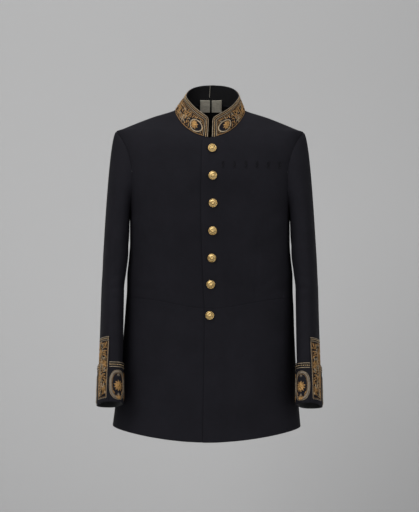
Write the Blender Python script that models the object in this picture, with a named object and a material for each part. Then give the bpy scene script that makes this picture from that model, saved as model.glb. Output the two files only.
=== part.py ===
"""A diplomatic uniform coat, hollow and in the form it has when worn.

Sizes in the tables are in millimetres and angles in degrees. +X is the wearer's left, the front faces -Y,
and the origin is midway between the shoulders, at the height of the middle of the shoulder seams.
"""

import math

import bmesh
import bpy
import numpy as np

MM = 0.001

# Cloth and seams
WALL = 2.0  # broadcloth with its interlining
SEAM = 0.2  # each panel stops this far short of its seam line
SEAT = 0.4  # height of a sewn rim above the cloth that it sits on
SMALL_SEAT = 0.75  # the same for a button
LABEL_SEAT = 1.5  # the same for a label, inside a hollow curve
LAP_LIFT = 2.8  # how far the lapping front lies over the other one
LAP_FULL, LAP_NONE = 22.0, 52.0  # distances from the centre where the lift starts and ends its fall

# Body sections, from above the back neck down to below the hem
BODY_COLUMNS = ("z", "half_width", "front", "back", "seam_y", "power", "shift")
BODY_SECTIONS = (
    (62, 50, 6.5, 50, -8.0, 2.40, 0.0),
    (48, 62, 7.0, 62, -8.0, 2.40, 0.0),
    (39, 70, 7.8, 70, -8.0, 2.40, 0.0),
    (29, 80, 8.5, 77, -8.0, 2.40, 0.0),
    (10, 136, 28.6, 90, -6.8, 2.40, 0.0),
    (-8, 182, 49.0, 98, -4.5, 2.40, 0.0),
    (-20, 211, 63.0, 102, -3.0, 2.45, 0.0),
    (-25, 224, 69.0, 104, -2.5, 2.50, 0.0),
    (-43, 220, 84.5, 108, -1.5, 2.60, 0.0),
    (-70, 212, 97.0, 112, -1.0, 2.75, 0.0),
    (-100, 205, 104.0, 114, 0.0, 2.90, 0.0),
    (-150, 199, 109.0, 114, 0.0, 2.90, 0.2),
    (-232, 191, 109.0, 106, 0.0, 2.90, 0.7),
    (-290, 191, 106.5, 98, 0.0, 2.80, 1.2),
    (-330, 194, 104.0, 93, 0.0, 2.70, 1.5),
    (-370, 198, 102.0, 89, 0.0, 2.60, 1.7),
    (-403, 198.5, 101.0, 88, 0.0, 2.50, 1.7),
    (-443, 201, 102.0, 91, 0.0, 2.40, 1.5),
    (-500, 204, 109.0, 104, 0.0, 2.35, 0.4),
    (-600, 211.5, 121.0, 120, 0.0, 2.30, -1.8),
    (-727, 225, 135.0, 134, 0.0, 2.30, -4.3),
    (-760, 230, 139.0, 138, 0.0, 2.30, -4.8),
)

# Armhole, an oval in the side view
ARMHOLE_TOP, ARMHOLE_BOTTOM = -25.0, -232.0
ARMHOLE_Y, ARMHOLE_HALF_DEPTH = -2.5, 64.0
ARMHOLE_STEP = 15  # degrees between the points around an armhole and a sleeve

# Seams and edges of the body
SIDE_SEAM = 92.0  # angle of the side seam at the waist
BACK_SEAM = 152.0  # angle of the side-back seam at the waist and below it
BACK_SEAM_NOTCH = 240  # armhole angle where the side-back seam ends
BACK_SEAM_ROWS, SKIRT_ROWS = 9, 8  # rows of points along the side-back seam above and below the waist
BACK_HEIGHTS = (-80.0, -38.0, -3.0, 24.0)  # rows up the centre-back seam above that notch
BACK_SHARES = (0, 0.06, 0.15, 0.28, 0.44, 0.62, 0.81, 1)  # columns from the centre-back seam outwards
FOREPART_COLUMNS, SKIRT_COLUMNS = 7, 11  # columns of a front panel beyond the lap's fall
WAIST_SIDE, WAIST_FRONT_DIP, WAIST_FALL = -420.0, 23.0, 7  # the seam dips towards the front, as this power
HEM_SIDE, HEM_FRONT_DIP, HEM_FALL = -727.0, 22.0, 3
FRONT_TOP = -49.0  # top of the fronts where one laps the other
TAB_RISE = 1.5
FRONT_ROWS = (0, 0.1, 0.2, 0.3, 0.4, 0.5, 0.6, 0.7, 0.79, 0.87, 0.93, 0.97, 1)  # up the opening
UNDERLAP = 18.0
LAP_COLUMNS = ("z", "reach")
LAP_EDGE = (
    (-49, 17.5),
    (-75, 18.5),
    (-225, 20.0),
    (-400, 14.5),
    (-443, 12.0),
    (-749, 8.0),
)

# Neckline and collar rim, from the front to the centre back
COLLAR_COLUMNS = ("step", "neck_x", "neck_z", "rim_x", "rim_y", "rim_z")
COLLAR_RINGS = (
    (0, 3.5, -43.2, 3.0, -72, 1),
    (1, 22, -38, 16, -66, 12),
    (2, 40, -30, 29, -58, 21),
    (3, 54, -19, 44, -44, 35),
    (4, 65, -7, 54, -27, 48),
    (5, 73, 6, 59, -13, 57),
    (6, 79, 18, 60.5, -2, 63),
    (7, 80, 29, 60, 8, 69),
    (8, 75.5, 33, 57, 19, 76),
    (9, 62, 39.5, 46, 34, 86),
    (10, 34, 45.5, 25, 44, 93),
    (11, 0, 48, 0, 47, 95),
)
NECK_POINT = 7  # the step where the shoulder seam meets the collar
NECK_FRONT_COUNT, NECK_BACK_COUNT = 8, 4  # stretches of the neck edge before and after it
COLLAR_WALL = 2.6
COLLAR_LEAN = 6.0  # the rim leans this far to the wearer's left
COLLAR_LEAN_REACH = 60.0  # the lean grows over this distance from the front
COLLAR_CORNER = 10.0
COLLAR_LEVELS = (0.0, 0.35, 0.7, 1.0)
NECK_REACH = 0.3  # the collar starts this far outside the neck edge
NECK_POINT_SEAT = 0.9  # more height where the shoulder seams end, over the fold of the cloth

# Sleeve sections, by the height of their centre
SLEEVE_COLUMNS = ("z", "x", "y", "half_x", "half_y", "yaw", "pitch", "shift")
SLEEVE_SECTIONS = (
    (-262, 222.5, -5, 29.5, 70, 6, 0, 1.0),
    (-320, 225.5, -8, 29.6, 72, 7, 0, 1.4),
    (-360, 228.6, -11, 27.7, 71, 8, 2, 1.7),
    (-403, 231.8, -17, 25.9, 70, 9, 5, 1.7),
    (-460, 232.1, -30, 25.9, 67, 10, 9, 1.8),
    (-520, 232.3, -47, 25.9, 64, 11, 12, 2.0),
    (-575, 232.6, -65, 25.9, 61, 12, 13, 2.2),
    (-625, 232.2, -82, 26.2, 58, 13, 14, 2.4),
    (-668, 231.4, -96, 26.6, 56, 14, 14, 2.5),
)
SLEEVE_POWER = 2.6
CAP_SHARES = (0.0, 0.025, 0.1, 0.25, 0.5, 0.75)  # of the way from the armhole to the first full section
ARM_HEIGHTS = (-262, -303, -344, -387, -431, -476, -521, -577, -623, -668)
SLEEVE_SEAM = 0.3
FRONT_NOTCH, BACK_NOTCH = 135, -105  # sleeve angles of the two sleeve seams
# Each sleeve panel is divided across the arm, so its collision follows the bend: name, first and last row
SLEEVE_PARTS = (("sleeve", 0, 8), ("elbow", 8, 11), ("forearm", 11, 15))

# Cuffs and the strips that stand up beside them
CUFF_ROWS, STRIP_ROWS = 3, 4  # how many of the lowest arm heights each one spans
STRIP_FROM, STRIP_TO = 8.0, 66.0  # sleeve angles of the strip's sides
CUFF_WALL = 2.0
CUFF_GAP_ANGLE = 0.9

# Labels inside the back of the neck
LABEL_BOTTOM, LABEL_TOP = 30.0, 59.0
LABEL_SPANS = {"left": (4.3, 29.0), "right": (-24.8, -0.3)}
LABEL_WALL = 1.0

# Buttons: height of the middle, and distance from the centre line
BUTTONS = (
    (-71.7, 5.5),
    (-135.6, 7.0),
    (-199.2, 7.5),
    (-263.0, 6.5),
    (-326.0, 4.5),
    (-387.5, 2.0),
    (-459.3, 0.5),
)
BUTTON_RADIUS = 10.0
BUTTON_DOME = 5.0
BUTTON_RIM = 1.4
SHANK_RADIUS, SHANK_HEIGHT = 2.6, 1.6
BUTTON_SIDES = 14

# Surfaces: colour, roughness and metallic
BLACK_CLOTH = ("black broadcloth", (0.012, 0.012, 0.014), 0.85, 0.0)
GOLD_EMBROIDERY = ("gold embroidery ground", (0.20, 0.13, 0.05), 0.55, 0.4)
CREAM_TAPE = ("cream tape", (0.42, 0.38, 0.29), 0.9, 0.0)
GILT = ("gilt metal", (0.80, 0.56, 0.20), 0.25, 1.0)


class Rows:
    """A short table read by column, smooth between its rows and without overshoot."""

    def __init__(self, columns, rows):
        data = np.array(sorted(rows, key=lambda row: row[0]), dtype=float)
        self.key = data[:, 0]
        self.values = {c: data[:, i] for i, c in enumerate(columns)}
        self.slopes = {c: self.slope(v) for c, v in self.values.items()}

    def slope(self, v):
        step = np.diff(self.key)
        rise = np.diff(v) / step
        slopes = np.zeros(len(v))
        slopes[0], slopes[-1] = rise[0], rise[-1]
        for i in range(1, len(v) - 1):
            if rise[i - 1] * rise[i] > 0:
                a, b = 2 * step[i] + step[i - 1], step[i] + 2 * step[i - 1]
                slopes[i] = (a + b) / (a / rise[i - 1] + b / rise[i])
        return slopes

    def at(self, key, column):
        key = np.asarray(key, dtype=float)
        i = np.clip(np.searchsorted(self.key, key) - 1, 0, len(self.key) - 2)
        width = self.key[i + 1] - self.key[i]
        t = np.clip((key - self.key[i]) / width, 0.0, 1.0)
        v, m = self.values[column], self.slopes[column]
        return (
            v[i] * (2 * t**3 - 3 * t**2 + 1)
            + m[i] * width * (t**3 - 2 * t**2 + t)
            + v[i + 1] * (3 * t**2 - 2 * t**3)
            + m[i + 1] * width * (t**3 - t**2)
        )


BODY = Rows(BODY_COLUMNS, BODY_SECTIONS)
SLEEVE = Rows(SLEEVE_COLUMNS, SLEEVE_SECTIONS)
LAP = Rows(LAP_COLUMNS, LAP_EDGE)
COLLAR = Rows(COLLAR_COLUMNS, COLLAR_RINGS)


# Body surface

def oval_reach(angle, power):
    """Distance to a unit superellipse at an angle."""
    a = np.abs(np.sin(angle)) ** power + np.abs(np.cos(angle)) ** power
    return a ** (-1 / power)


def body_point(angle, z, lift=0.0):
    """Outer surface of the body: angle 0 is the front, 90 the wearer's left, 180 the back."""
    a = np.radians(angle)
    z = np.asarray(z, dtype=float)
    r = oval_reach(a, BODY.at(z, "power"))
    across = BODY.at(z, "half_width") * np.sin(a) * r
    depth = np.where(np.cos(a) > 0, BODY.at(z, "front"), BODY.at(z, "back"))
    y = BODY.at(z, "seam_y") - depth * np.cos(a) * r
    fall = np.clip((LAP_NONE - np.abs(across)) / (LAP_NONE - LAP_FULL), 0, 1) * (np.cos(a) > 0)
    y = y - lift * fall * fall * (3 - 2 * fall)
    return np.stack([across, y, z + 0 * y], axis=-1)


def body_normal(angle, z, lift=0.0):
    """Outward direction of the body surface."""
    along = body_point(angle + 0.3, z, lift) - body_point(angle - 0.3, z, lift)
    up = body_point(angle, z + 0.5, lift) - body_point(angle, z - 0.5, lift)
    n = np.cross(along, up)
    return n / np.linalg.norm(n, axis=-1, keepdims=True)


def angle_from_depth(y, z):
    """Angle of the body surface where it has this depth at this height."""
    n, middle = BODY.at(z, "power"), BODY.at(z, "seam_y")
    depth = np.where(y < middle, BODY.at(z, "front"), BODY.at(z, "back"))
    q = np.clip(np.abs(y - middle) / depth, 0, 1)
    p = (1 - q**n) ** (1 / n)
    return np.degrees(np.arctan2(p, np.where(y < middle, q, -q)))


def angle_from_width(x, z, facing=1):
    """Angle of the body surface at this distance from the centre, on the front (1) or the back (-1)."""
    n = BODY.at(z, "power")
    p = np.clip(np.abs(x) / BODY.at(z, "half_width"), 0, 1)
    q = (1 - p**n) ** (1 / n)
    return np.degrees(np.arctan2(p * np.sign(x + 1e-9), facing * q))


def armhole(phi):
    """Angle and height of the armhole's edge: 0 is the shoulder point, 90 the front, 180 the armpit."""
    a = np.radians(phi)
    middle = (ARMHOLE_TOP + ARMHOLE_BOTTOM) / 2
    z = middle + (ARMHOLE_TOP - ARMHOLE_BOTTOM) / 2 * np.cos(a)
    y = ARMHOLE_Y - ARMHOLE_HALF_DEPTH * np.sin(a)
    return np.stack([angle_from_depth(y, z), z], axis=-1)


def waist_z(angle):
    return WAIST_SIDE - WAIST_FRONT_DIP * np.clip(np.cos(np.radians(angle)), 0, 1) ** WAIST_FALL


def hem_z(angle):
    return HEM_SIDE - HEM_FRONT_DIP * np.clip(np.cos(np.radians(angle)), 0, 1) ** HEM_FALL


# Chains of (angle, height) points along seams

def chain(*runs):
    """Joins runs end to end, dropping the repeated points."""
    points = [runs[0]]
    points += [run[1:] for run in runs[1:]]
    return np.concatenate(points)


def straight(a, b, count):
    t = np.linspace(0, 1, count + 1)[:, None]
    return (1 - t) * np.asarray(a, float) + t * np.asarray(b, float)


def neck_edge(step):
    """Angle and height of the neck edge at a step of the collar table."""
    x, z = COLLAR.at(step, "neck_x"), COLLAR.at(step, "neck_z")
    facing = np.where(np.asarray(step) > NECK_POINT, -1, 1)
    return np.stack([angle_from_width(x, z, facing), z], axis=-1)


def even_steps(first, last, count):
    """Steps of the collar table that are evenly spaced along the neck edge."""
    step = np.linspace(first, last, 121)
    edge = neck_edge(step)
    points = body_point(edge[:, 0], edge[:, 1])
    run = np.concatenate([[0], np.cumsum(np.linalg.norm(np.diff(points, axis=0), axis=1))])
    return np.interp(np.linspace(0, run[-1], count + 1), run, step)


def neck_steps():
    front = even_steps(0, NECK_POINT, NECK_FRONT_COUNT)
    return front, even_steps(NECK_POINT, COLLAR_RINGS[-1][0], NECK_BACK_COUNT)


def front_edge(z, lapping):
    """The opening edge of a front, measured past the centre line."""
    reach = LAP.at(z, "reach") if lapping else UNDERLAP + 0 * z
    return np.stack([-angle_from_width(reach, z), z], axis=-1)


def back_seam(count):
    """The side-back seam from the waist up to its notch on the armhole."""
    notch = armhole(float(BACK_SEAM_NOTCH))
    t = np.linspace(0, 1, count + 1)
    angle = BACK_SEAM + (notch[0] - BACK_SEAM) * t**2.2
    return np.stack([angle, WAIST_SIDE + (notch[1] - WAIST_SIDE) * t], axis=-1)


# Meshes

def material(finish):
    name, colour, roughness, metallic = finish
    made = bpy.data.materials.get(name) or bpy.data.materials.new(name)
    made.use_nodes = True
    shader = made.node_tree.nodes["Principled BSDF"]
    shader.inputs["Base Color"].default_value = (*colour, 1)
    shader.inputs["Roughness"].default_value = roughness
    shader.inputs["Metallic"].default_value = metallic
    return made


def add_object(name, points, faces, finish):
    """Makes one closed body, with its faces pointing outwards."""
    mesh = bpy.data.meshes.new(name)
    mesh.from_pydata([tuple(p * MM) for p in points], [], faces)
    bm = bmesh.new()
    bm.from_mesh(mesh)
    bmesh.ops.recalc_face_normals(bm, faces=bm.faces)
    bm.to_mesh(mesh)
    bm.free()
    mesh.shade_smooth()
    mesh.set_sharp_from_angle(angle=math.radians(40))
    mesh.materials.append(material(finish))
    obj = bpy.data.objects.new(name, mesh)
    bpy.context.collection.objects.link(obj)
    return obj


def wall(name, outer, inner, finish, closed=False):
    """A cloth wall between two grids of points. A closed one joins its last column to its first."""
    rows, cols = outer.shape[:2]
    count = rows * cols
    points = np.concatenate([outer.reshape(-1, 3), inner.reshape(-1, 3)])
    spans = cols if closed else cols - 1

    def at(r, c, layer=0):
        return layer * count + r * cols + c % cols

    faces = []
    for r in range(rows - 1):
        for c in range(spans):
            for layer in (0, 1):
                quad = [at(r, c, layer), at(r, c + 1, layer), at(r + 1, c + 1, layer), at(r + 1, c, layer)]
                faces.append(quad if layer == 0 else quad[::-1])
    for c in range(spans):
        for r in (0, rows - 1):
            faces.append([at(r, c), at(r, c, 1), at(r, c + 1, 1), at(r, c + 1)])
    if not closed:
        for r in range(rows - 1):
            for c in (0, cols - 1):
                faces.append([at(r, c), at(r + 1, c), at(r + 1, c, 1), at(r, c, 1)])
    return add_object(name, points, faces, finish)


def trimmed(grid, amount, sides="lrtb"):
    """Moves the edges of a grid inwards, towards the next points, so that seams stay open."""
    out = grid.copy()
    for side, edge, nxt in (
        ("l", np.s_[:, 0], np.s_[:, 1]),
        ("r", np.s_[:, -1], np.s_[:, -2]),
        ("b", np.s_[0], np.s_[1]),
        ("t", np.s_[-1], np.s_[-2]),
    ):
        if side in sides:
            step = grid[nxt] - grid[edge]
            out[edge] += amount * step / np.linalg.norm(step, axis=-1, keepdims=True)
    return out


def placed(points, side, shift=None):
    """Mirrors points for the wearer's right side and adds the lean of the hanging cloth."""
    out = points.copy()
    if side == "right":
        out[..., 0] *= -1
    out[..., 0] += BODY.at(out[..., 2], "shift") if shift is None else shift
    return out


def body_panel(name, side, domain, lift=0.0, sides="lrtb"):
    """A panel of the body from a grid of (angle, height)."""
    angle, z = domain[..., 0], domain[..., 1]
    outer = body_point(angle, z, lift)
    normal = body_normal(angle, z, lift)
    inner = outer - WALL * normal
    outer, inner = (trimmed(g, SEAM, sides) for g in (outer, inner))
    wall(name, placed(outer, side), placed(inner, side), BLACK_CLOTH)


def ruled(left, right, shares):
    """Rows of points between two chains, at the given shares of the way."""
    u = np.asarray(shares, float)
    u = np.broadcast_to(u, (len(left), u.shape[-1]))[..., None]
    return (1 - u) * left[:, None, :] + u * right[:, None, :]


def lap_share(left, right, reach):
    """How far along each row of a front panel a distance from the centre lies."""
    width = np.maximum(right[:, :1] - left[:, :1], 0.1)
    return (angle_from_width(reach, left[:, 1:]) - left[:, :1]) / width


def front_shares(left, right, spread):
    """Shares for each row of a front panel, with columns where the lap's lift starts and ends its fall."""
    full = np.maximum(lap_share(left, right, LAP_FULL), 0.05)
    none = np.maximum(lap_share(left, right, LAP_NONE), 0.13)
    rest = np.linspace(0, 1, spread + 1)[None, :]
    return np.concatenate([0 * full, full, none + (1 - none) * rest], axis=1)


# Body pieces

def forepart(side):
    lapping = side == "left"
    bottom = WAIST_SIDE - WAIST_FRONT_DIP
    opening = front_edge(bottom + (FRONT_TOP - bottom) * np.array(FRONT_ROWS), lapping)
    tab_end = (-float(angle_from_width(1.0, FRONT_TOP + TAB_RISE)), FRONT_TOP + TAB_RISE)
    neck = neck_edge(neck_steps()[0])
    left = chain(opening, np.array([opening[-1], tab_end, neck[0]]), neck)
    arm = armhole(np.arange(180.0, -1.0, -ARMHOLE_STEP))
    right = chain(straight((SIDE_SEAM, WAIST_SIDE), arm[0], len(left) - len(arm)), arm)
    shares = front_shares(left, right, FOREPART_COLUMNS)
    grid = ruled(left, right, shares)
    level = np.clip(lap_share(left, right, LAP_NONE), 0, 1)
    past = np.clip((shares - level) / (1 - level), 0, 1)
    grid[..., 1] = left[:, None, 1] + past * (right[:, None, 1] - left[:, None, 1])
    low = np.linspace(1, 0, len(left))[:, None] ** 4
    flat = grid[0, :, 1]
    grid[..., 1] += low * (waist_z(grid[0, :, 0]) - flat)[None, :]
    body_panel(f"forepart_{side}", side, grid, LAP_LIFT if lapping else 0.0)


def side_body(side):
    columns = (BACK_SEAM_NOTCH - 180) // ARMHOLE_STEP
    pit = armhole(180.0)
    left = straight((SIDE_SEAM, WAIST_SIDE), pit, BACK_SEAM_ROWS)
    right = back_seam(BACK_SEAM_ROWS)
    grid = ruled(left, right, np.linspace(0, 1, columns + 1))
    top = armhole(np.linspace(180.0, BACK_SEAM_NOTCH, columns + 1))
    weight = np.linspace(0, 1, len(left))[:, None, None] ** 3
    grid = grid + weight * (top - grid[-1])[None]
    body_panel(f"side_body_{side}", side, grid)


def back(side):
    centre_low = straight((180, HEM_SIDE), (180, WAIST_SIDE), SKIRT_ROWS)
    centre_mid = straight((180, WAIST_SIDE), (180, BACK_HEIGHTS[0]), BACK_SEAM_ROWS)
    neck = neck_edge(neck_steps()[1])[::-1]
    centre_top = np.array([(180, z) for z in (*BACK_HEIGHTS, neck[0][1])])
    left = chain(centre_low, centre_mid, centre_top, neck)
    seam_low = straight((BACK_SEAM, HEM_SIDE), (BACK_SEAM, WAIST_SIDE), SKIRT_ROWS)
    arm = armhole(np.arange(float(BACK_SEAM_NOTCH), 361.0, ARMHOLE_STEP))
    right = chain(seam_low, back_seam(BACK_SEAM_ROWS), arm)
    grid = ruled(left, right, BACK_SHARES)
    body_panel(f"back_{side}", side, grid)


def skirt(side):
    lapping = side == "left"
    down = np.linspace(0, 1, SKIRT_ROWS + 1)
    left = front_edge(waist_z(0.0) + (hem_z(0.0) - waist_z(0.0)) * down, lapping)
    right = straight((BACK_SEAM, WAIST_SIDE), (BACK_SEAM, HEM_SIDE), SKIRT_ROWS)
    angle = ruled(left, right, front_shares(left, right, SKIRT_COLUMNS))[..., 0]
    z = waist_z(angle) + (hem_z(angle) - waist_z(angle)) * down[:, None]
    grid = np.stack([angle, z], axis=-1)[::-1]
    body_panel(f"skirt_{side}", side, grid, LAP_LIFT if lapping else 0.0)


# Collar

def seated_loop(points, normals, away, reach):
    """Points moved off a seam line, over the cloth and clear of it."""
    return points + reach * away + SEAT * normals


def collar(side):
    """One half of the stand collar, on the neck edge."""
    front, behind = neck_steps()
    corner_steps = front[0] + (front[1] - front[0]) * np.array((0.0, 0.2, 0.55))
    step = np.concatenate([corner_steps, front[1:], behind[1:]])
    path = neck_edge(step)
    lift = LAP_LIFT if side == "left" else 0.0
    base = body_point(path[:, 0], path[:, 1], lift)
    normal = body_normal(path[:, 0], path[:, 1], lift)
    away = np.cross(np.gradient(base, axis=0), normal)
    away /= np.linalg.norm(away, axis=1, keepdims=True)
    outward = away * (1, 1, 0)
    outward /= np.linalg.norm(outward, axis=1, keepdims=True)
    seat = SEAT + NECK_POINT_SEAT * np.exp(-(((step - NECK_POINT) / 0.8) ** 2))[:, None]
    inner_base = base + NECK_REACH * away + seat * normal
    outer_base = base + (NECK_REACH + COLLAR_WALL) * away + seat * normal
    inner_rim = np.stack([COLLAR.at(step, c) for c in ("rim_x", "rim_y", "rim_z")], axis=-1)
    from_front = np.concatenate([[0], np.cumsum(np.linalg.norm(np.diff(base, axis=0), axis=1))])
    into_corner = np.clip(COLLAR_CORNER - from_front, 0, COLLAR_CORNER)
    drop = COLLAR_CORNER - np.sqrt(COLLAR_CORNER**2 - into_corner**2)
    height = np.linalg.norm(inner_rim - inner_base, axis=1)
    inner_rim = inner_base + (inner_rim - inner_base) * (1 - drop / height)[:, None]
    outer_rim = inner_rim + COLLAR_WALL * outward
    level = np.array(COLLAR_LEVELS)[:, None]
    lean = level * COLLAR_LEAN * (0.25 + 0.75 * np.clip(from_front / COLLAR_LEAN_REACH, 0, 1))
    grids = []
    for low, high in ((outer_base, outer_rim), (inner_base, inner_rim)):
        grid = placed(trimmed(low + (high - low) * level[..., None], SEAM, "r"), side, 0.0)
        grid[..., 0] += lean
        grids.append(grid)
    wall(f"collar_{side}", grids[0], grids[1], BLACK_CLOTH)


# Sleeves

def section_point(z, phi, grow=0.0):
    """A point on a full sleeve section: 0 is the outer side, 90 the front."""
    a = np.radians(phi)
    r = oval_reach(a, SLEEVE_POWER)
    across = (SLEEVE.at(z, "half_x") + grow) * np.cos(a) * r
    depth = -(SLEEVE.at(z, "half_y") + grow) * np.sin(a) * r
    yaw, pitch = np.radians(SLEEVE.at(z, "yaw")), np.radians(SLEEVE.at(z, "pitch"))
    x = SLEEVE.at(z, "x") + across * np.cos(yaw) + depth * np.sin(yaw)
    level = depth * np.cos(yaw) - across * np.sin(yaw)
    y = SLEEVE.at(z, "y") + level * np.cos(pitch)
    return np.stack([x, y, z - level * np.sin(pitch)], axis=-1)


def armhole_loop(phi, reach):
    """The armhole's edge moved outwards over the cloth by a reach."""
    def edge(p):
        place = armhole(p)
        return body_point(place[..., 0], place[..., 1])

    place = armhole(phi)
    normal = body_normal(place[..., 0], place[..., 1])
    along = edge(phi + 1.0) - edge(phi - 1.0)
    away = np.cross(normal, along)
    away /= np.linalg.norm(away, axis=-1, keepdims=True)
    return edge(phi) + reach * away + SEAT * normal


def sleeve_grids():
    """Outer and inner points of the whole sleeve, rows from the armhole down and columns around it."""
    phi = np.arange(0.0, 360.0, ARMHOLE_STEP)
    start = armhole_loop(phi, 0.5 + WALL)
    end = section_point(np.full(len(phi), float(ARM_HEIGHTS[0])), phi)
    rows = []
    for share in CAP_SHARES:
        weight = np.array((share**0.5, share**0.7, share))
        rows.append(start + (end - start) * weight)
    for z in ARM_HEIGHTS:
        rows.append(section_point(np.full(len(phi), float(z)), phi))
    outer = np.array(rows)
    around = np.roll(outer, -1, axis=1) - np.roll(outer, 1, axis=1)
    down = np.gradient(outer, axis=0)
    normal = np.cross(down, around)
    normal /= np.linalg.norm(normal, axis=-1, keepdims=True)
    if (normal[-1, 0] * (outer[-1, 0] - outer[-1].mean(axis=0))).sum() < 0:
        normal = -normal
    inner = outer - WALL * normal
    inner[0] = armhole_loop(phi, 0.5)
    return outer, inner


def sleeve_pieces(side):
    outer, inner = sleeve_grids()
    cap = np.array(CAP_SHARES)[:, None]
    at_body = BODY.at(outer[0, :, 2], "shift")[None, :]
    cap_shift = (1 - cap) * at_body + cap * SLEEVE.at(ARM_HEIGHTS[0], "shift")
    arm_shift = SLEEVE.at(ARM_HEIGHTS, "shift")[:, None] + 0 * at_body
    shift = np.concatenate([cap_shift, arm_shift])
    step = ARMHOLE_STEP
    top_columns = [(p // step) % (360 // step) for p in range(FRONT_NOTCH, BACK_NOTCH - 1, -step)]
    under_columns = [(p // step) % (360 // step) for p in range(FRONT_NOTCH, BACK_NOTCH + 361, step)]
    for layer, columns in (("top", top_columns), ("under", under_columns)):
        for name, first, last in SLEEVE_PARTS:
            rows = slice(first, last + 1)
            edges = "lr" + ("b" if first > 0 else "") + ("t" if last < len(outer) - 1 else "")
            grids = [trimmed(grid[rows][:, columns], SLEEVE_SEAM, edges) for grid in (outer, inner)]
            grids = [placed(grid, side, shift[rows][:, columns]) for grid in grids]
            wall(f"{layer}_{name}_{side}", grids[0], grids[1], BLACK_CLOTH)


def cuff_part(name, side, z_values, angles, inner_gap, thickness, finish):
    """A piece that lies on the sleeve between two heights and two angles."""
    z, phi = np.meshgrid(z_values, angles, indexing="ij")
    shift = SLEEVE.at(z, "shift")
    outer = placed(section_point(z, phi, inner_gap + thickness), side, shift)
    inner = placed(section_point(z, phi, inner_gap), side, shift)
    wall(name, outer, inner, finish)


def between(first, last):
    """Two sleeve angles with the sleeve's own columns between them."""
    inside = [p for p in range(0, 361, ARMHOLE_STEP) if first < p < last]
    return [first, *inside, last]


def cuff(side):
    angles = between(STRIP_TO + CUFF_GAP_ANGLE, 360 + STRIP_FROM - CUFF_GAP_ANGLE)
    heights = np.array(ARM_HEIGHTS[-CUFF_ROWS:], float)
    cuff_part(f"cuff_{side}", side, heights, angles, SEAT, CUFF_WALL, GOLD_EMBROIDERY)


def cuff_strip(side):
    angles = between(STRIP_FROM, STRIP_TO)
    heights = np.array(ARM_HEIGHTS[-STRIP_ROWS:], float)
    cuff_part(f"cuff_strip_{side}", side, heights, angles, SEAT, CUFF_WALL, GOLD_EMBROIDERY)


# Small pieces

def label(side):
    lowest, highest = LABEL_SPANS[side]
    x, z = np.meshgrid(np.linspace(lowest, highest, 4), np.linspace(LABEL_BOTTOM, LABEL_TOP, 4))
    angle = angle_from_width(x, z, -1)
    surface, normal = body_point(angle, z), body_normal(angle, z)
    outer = surface - (WALL + LABEL_SEAT) * normal
    wall(f"label_{side}", outer, outer - LABEL_WALL * normal, CREAM_TAPE)


def button(number, z, x):
    """A domed button on a short shank, turned about the cloth's own outward direction."""
    profile = [(0.0, BUTTON_RIM + BUTTON_DOME)]
    for step in (0.45, 0.78, 0.96):
        profile.append((BUTTON_RADIUS * step, BUTTON_RIM + BUTTON_DOME * math.sqrt(1 - step**2)))
    profile += [(BUTTON_RADIUS, BUTTON_RIM), (BUTTON_RADIUS, 0.0), (SHANK_RADIUS, 0.0)]
    profile += [(SHANK_RADIUS, -SHANK_HEIGHT), (0.0, -SHANK_HEIGHT)]
    bm = bmesh.new()
    verts = [bm.verts.new((r * MM, 0, h * MM)) for r, h in profile]
    edges = [bm.edges.new(pair) for pair in zip(verts, verts[1:])]
    bmesh.ops.spin(bm, geom=verts + edges, cent=(0, 0, 0), axis=(0, 0, 1), angle=math.tau,
                   steps=BUTTON_SIDES, use_merge=True)
    bmesh.ops.remove_doubles(bm, verts=bm.verts, dist=1e-6)
    bmesh.ops.recalc_face_normals(bm, faces=bm.faces)
    angle = float(angle_from_width(x, z))
    normal = body_normal(angle, z, LAP_LIFT)
    centre = body_point(angle, z, LAP_LIFT) + (SHANK_HEIGHT + SMALL_SEAT) * normal
    centre = placed(centre, "left")
    side_way = np.cross((0, 0, 1), normal)
    side_way /= np.linalg.norm(side_way)
    frame = np.stack([side_way, np.cross(normal, side_way), normal], axis=-1)
    for vert in bm.verts:
        vert.co = frame @ np.array(vert.co) + centre * MM
    mesh = bpy.data.meshes.new(f"button_{number}")
    bm.to_mesh(mesh)
    bm.free()
    mesh.shade_smooth()
    mesh.set_sharp_from_angle(angle=math.radians(40))
    mesh.materials.append(material(GILT))
    bpy.context.collection.objects.link(bpy.data.objects.new(f"button_{number}", mesh))


def build():
    for obj in list(bpy.data.objects):
        bpy.data.objects.remove(obj, do_unlink=True)
    for side in ("left", "right"):
        forepart(side)
        side_body(side)
        back(side)
        skirt(side)
        collar(side)
        sleeve_pieces(side)
        cuff(side)
        cuff_strip(side)
        label(side)
    for number, (z, x) in enumerate(BUTTONS, 1):
        button(number, z, x)


build()
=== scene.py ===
# A fitted uniform coat of black broadcloth, with gold embroidery on its stand collar and cuffs.
# Tables are in millimetres and degrees. +X is the wearer's left and the front faces -Y.
import math

import bpy
import numpy as np
from mathutils import Matrix


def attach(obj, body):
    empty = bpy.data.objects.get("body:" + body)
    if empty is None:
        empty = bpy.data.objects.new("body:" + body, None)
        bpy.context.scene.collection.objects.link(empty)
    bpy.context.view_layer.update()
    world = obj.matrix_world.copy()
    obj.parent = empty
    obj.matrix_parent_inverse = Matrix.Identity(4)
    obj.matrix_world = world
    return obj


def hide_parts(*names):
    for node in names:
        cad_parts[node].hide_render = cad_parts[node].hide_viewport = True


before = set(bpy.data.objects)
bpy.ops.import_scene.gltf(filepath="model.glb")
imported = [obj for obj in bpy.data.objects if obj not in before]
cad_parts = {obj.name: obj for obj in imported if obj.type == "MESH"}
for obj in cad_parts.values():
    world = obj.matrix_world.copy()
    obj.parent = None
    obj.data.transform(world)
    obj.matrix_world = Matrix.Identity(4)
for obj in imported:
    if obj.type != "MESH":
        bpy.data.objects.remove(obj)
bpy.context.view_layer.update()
bpy.ops.object.select_all(action="DESELECT")

mm = 0.001
coatSides = ("left", "right")


# Smooth tables

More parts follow.
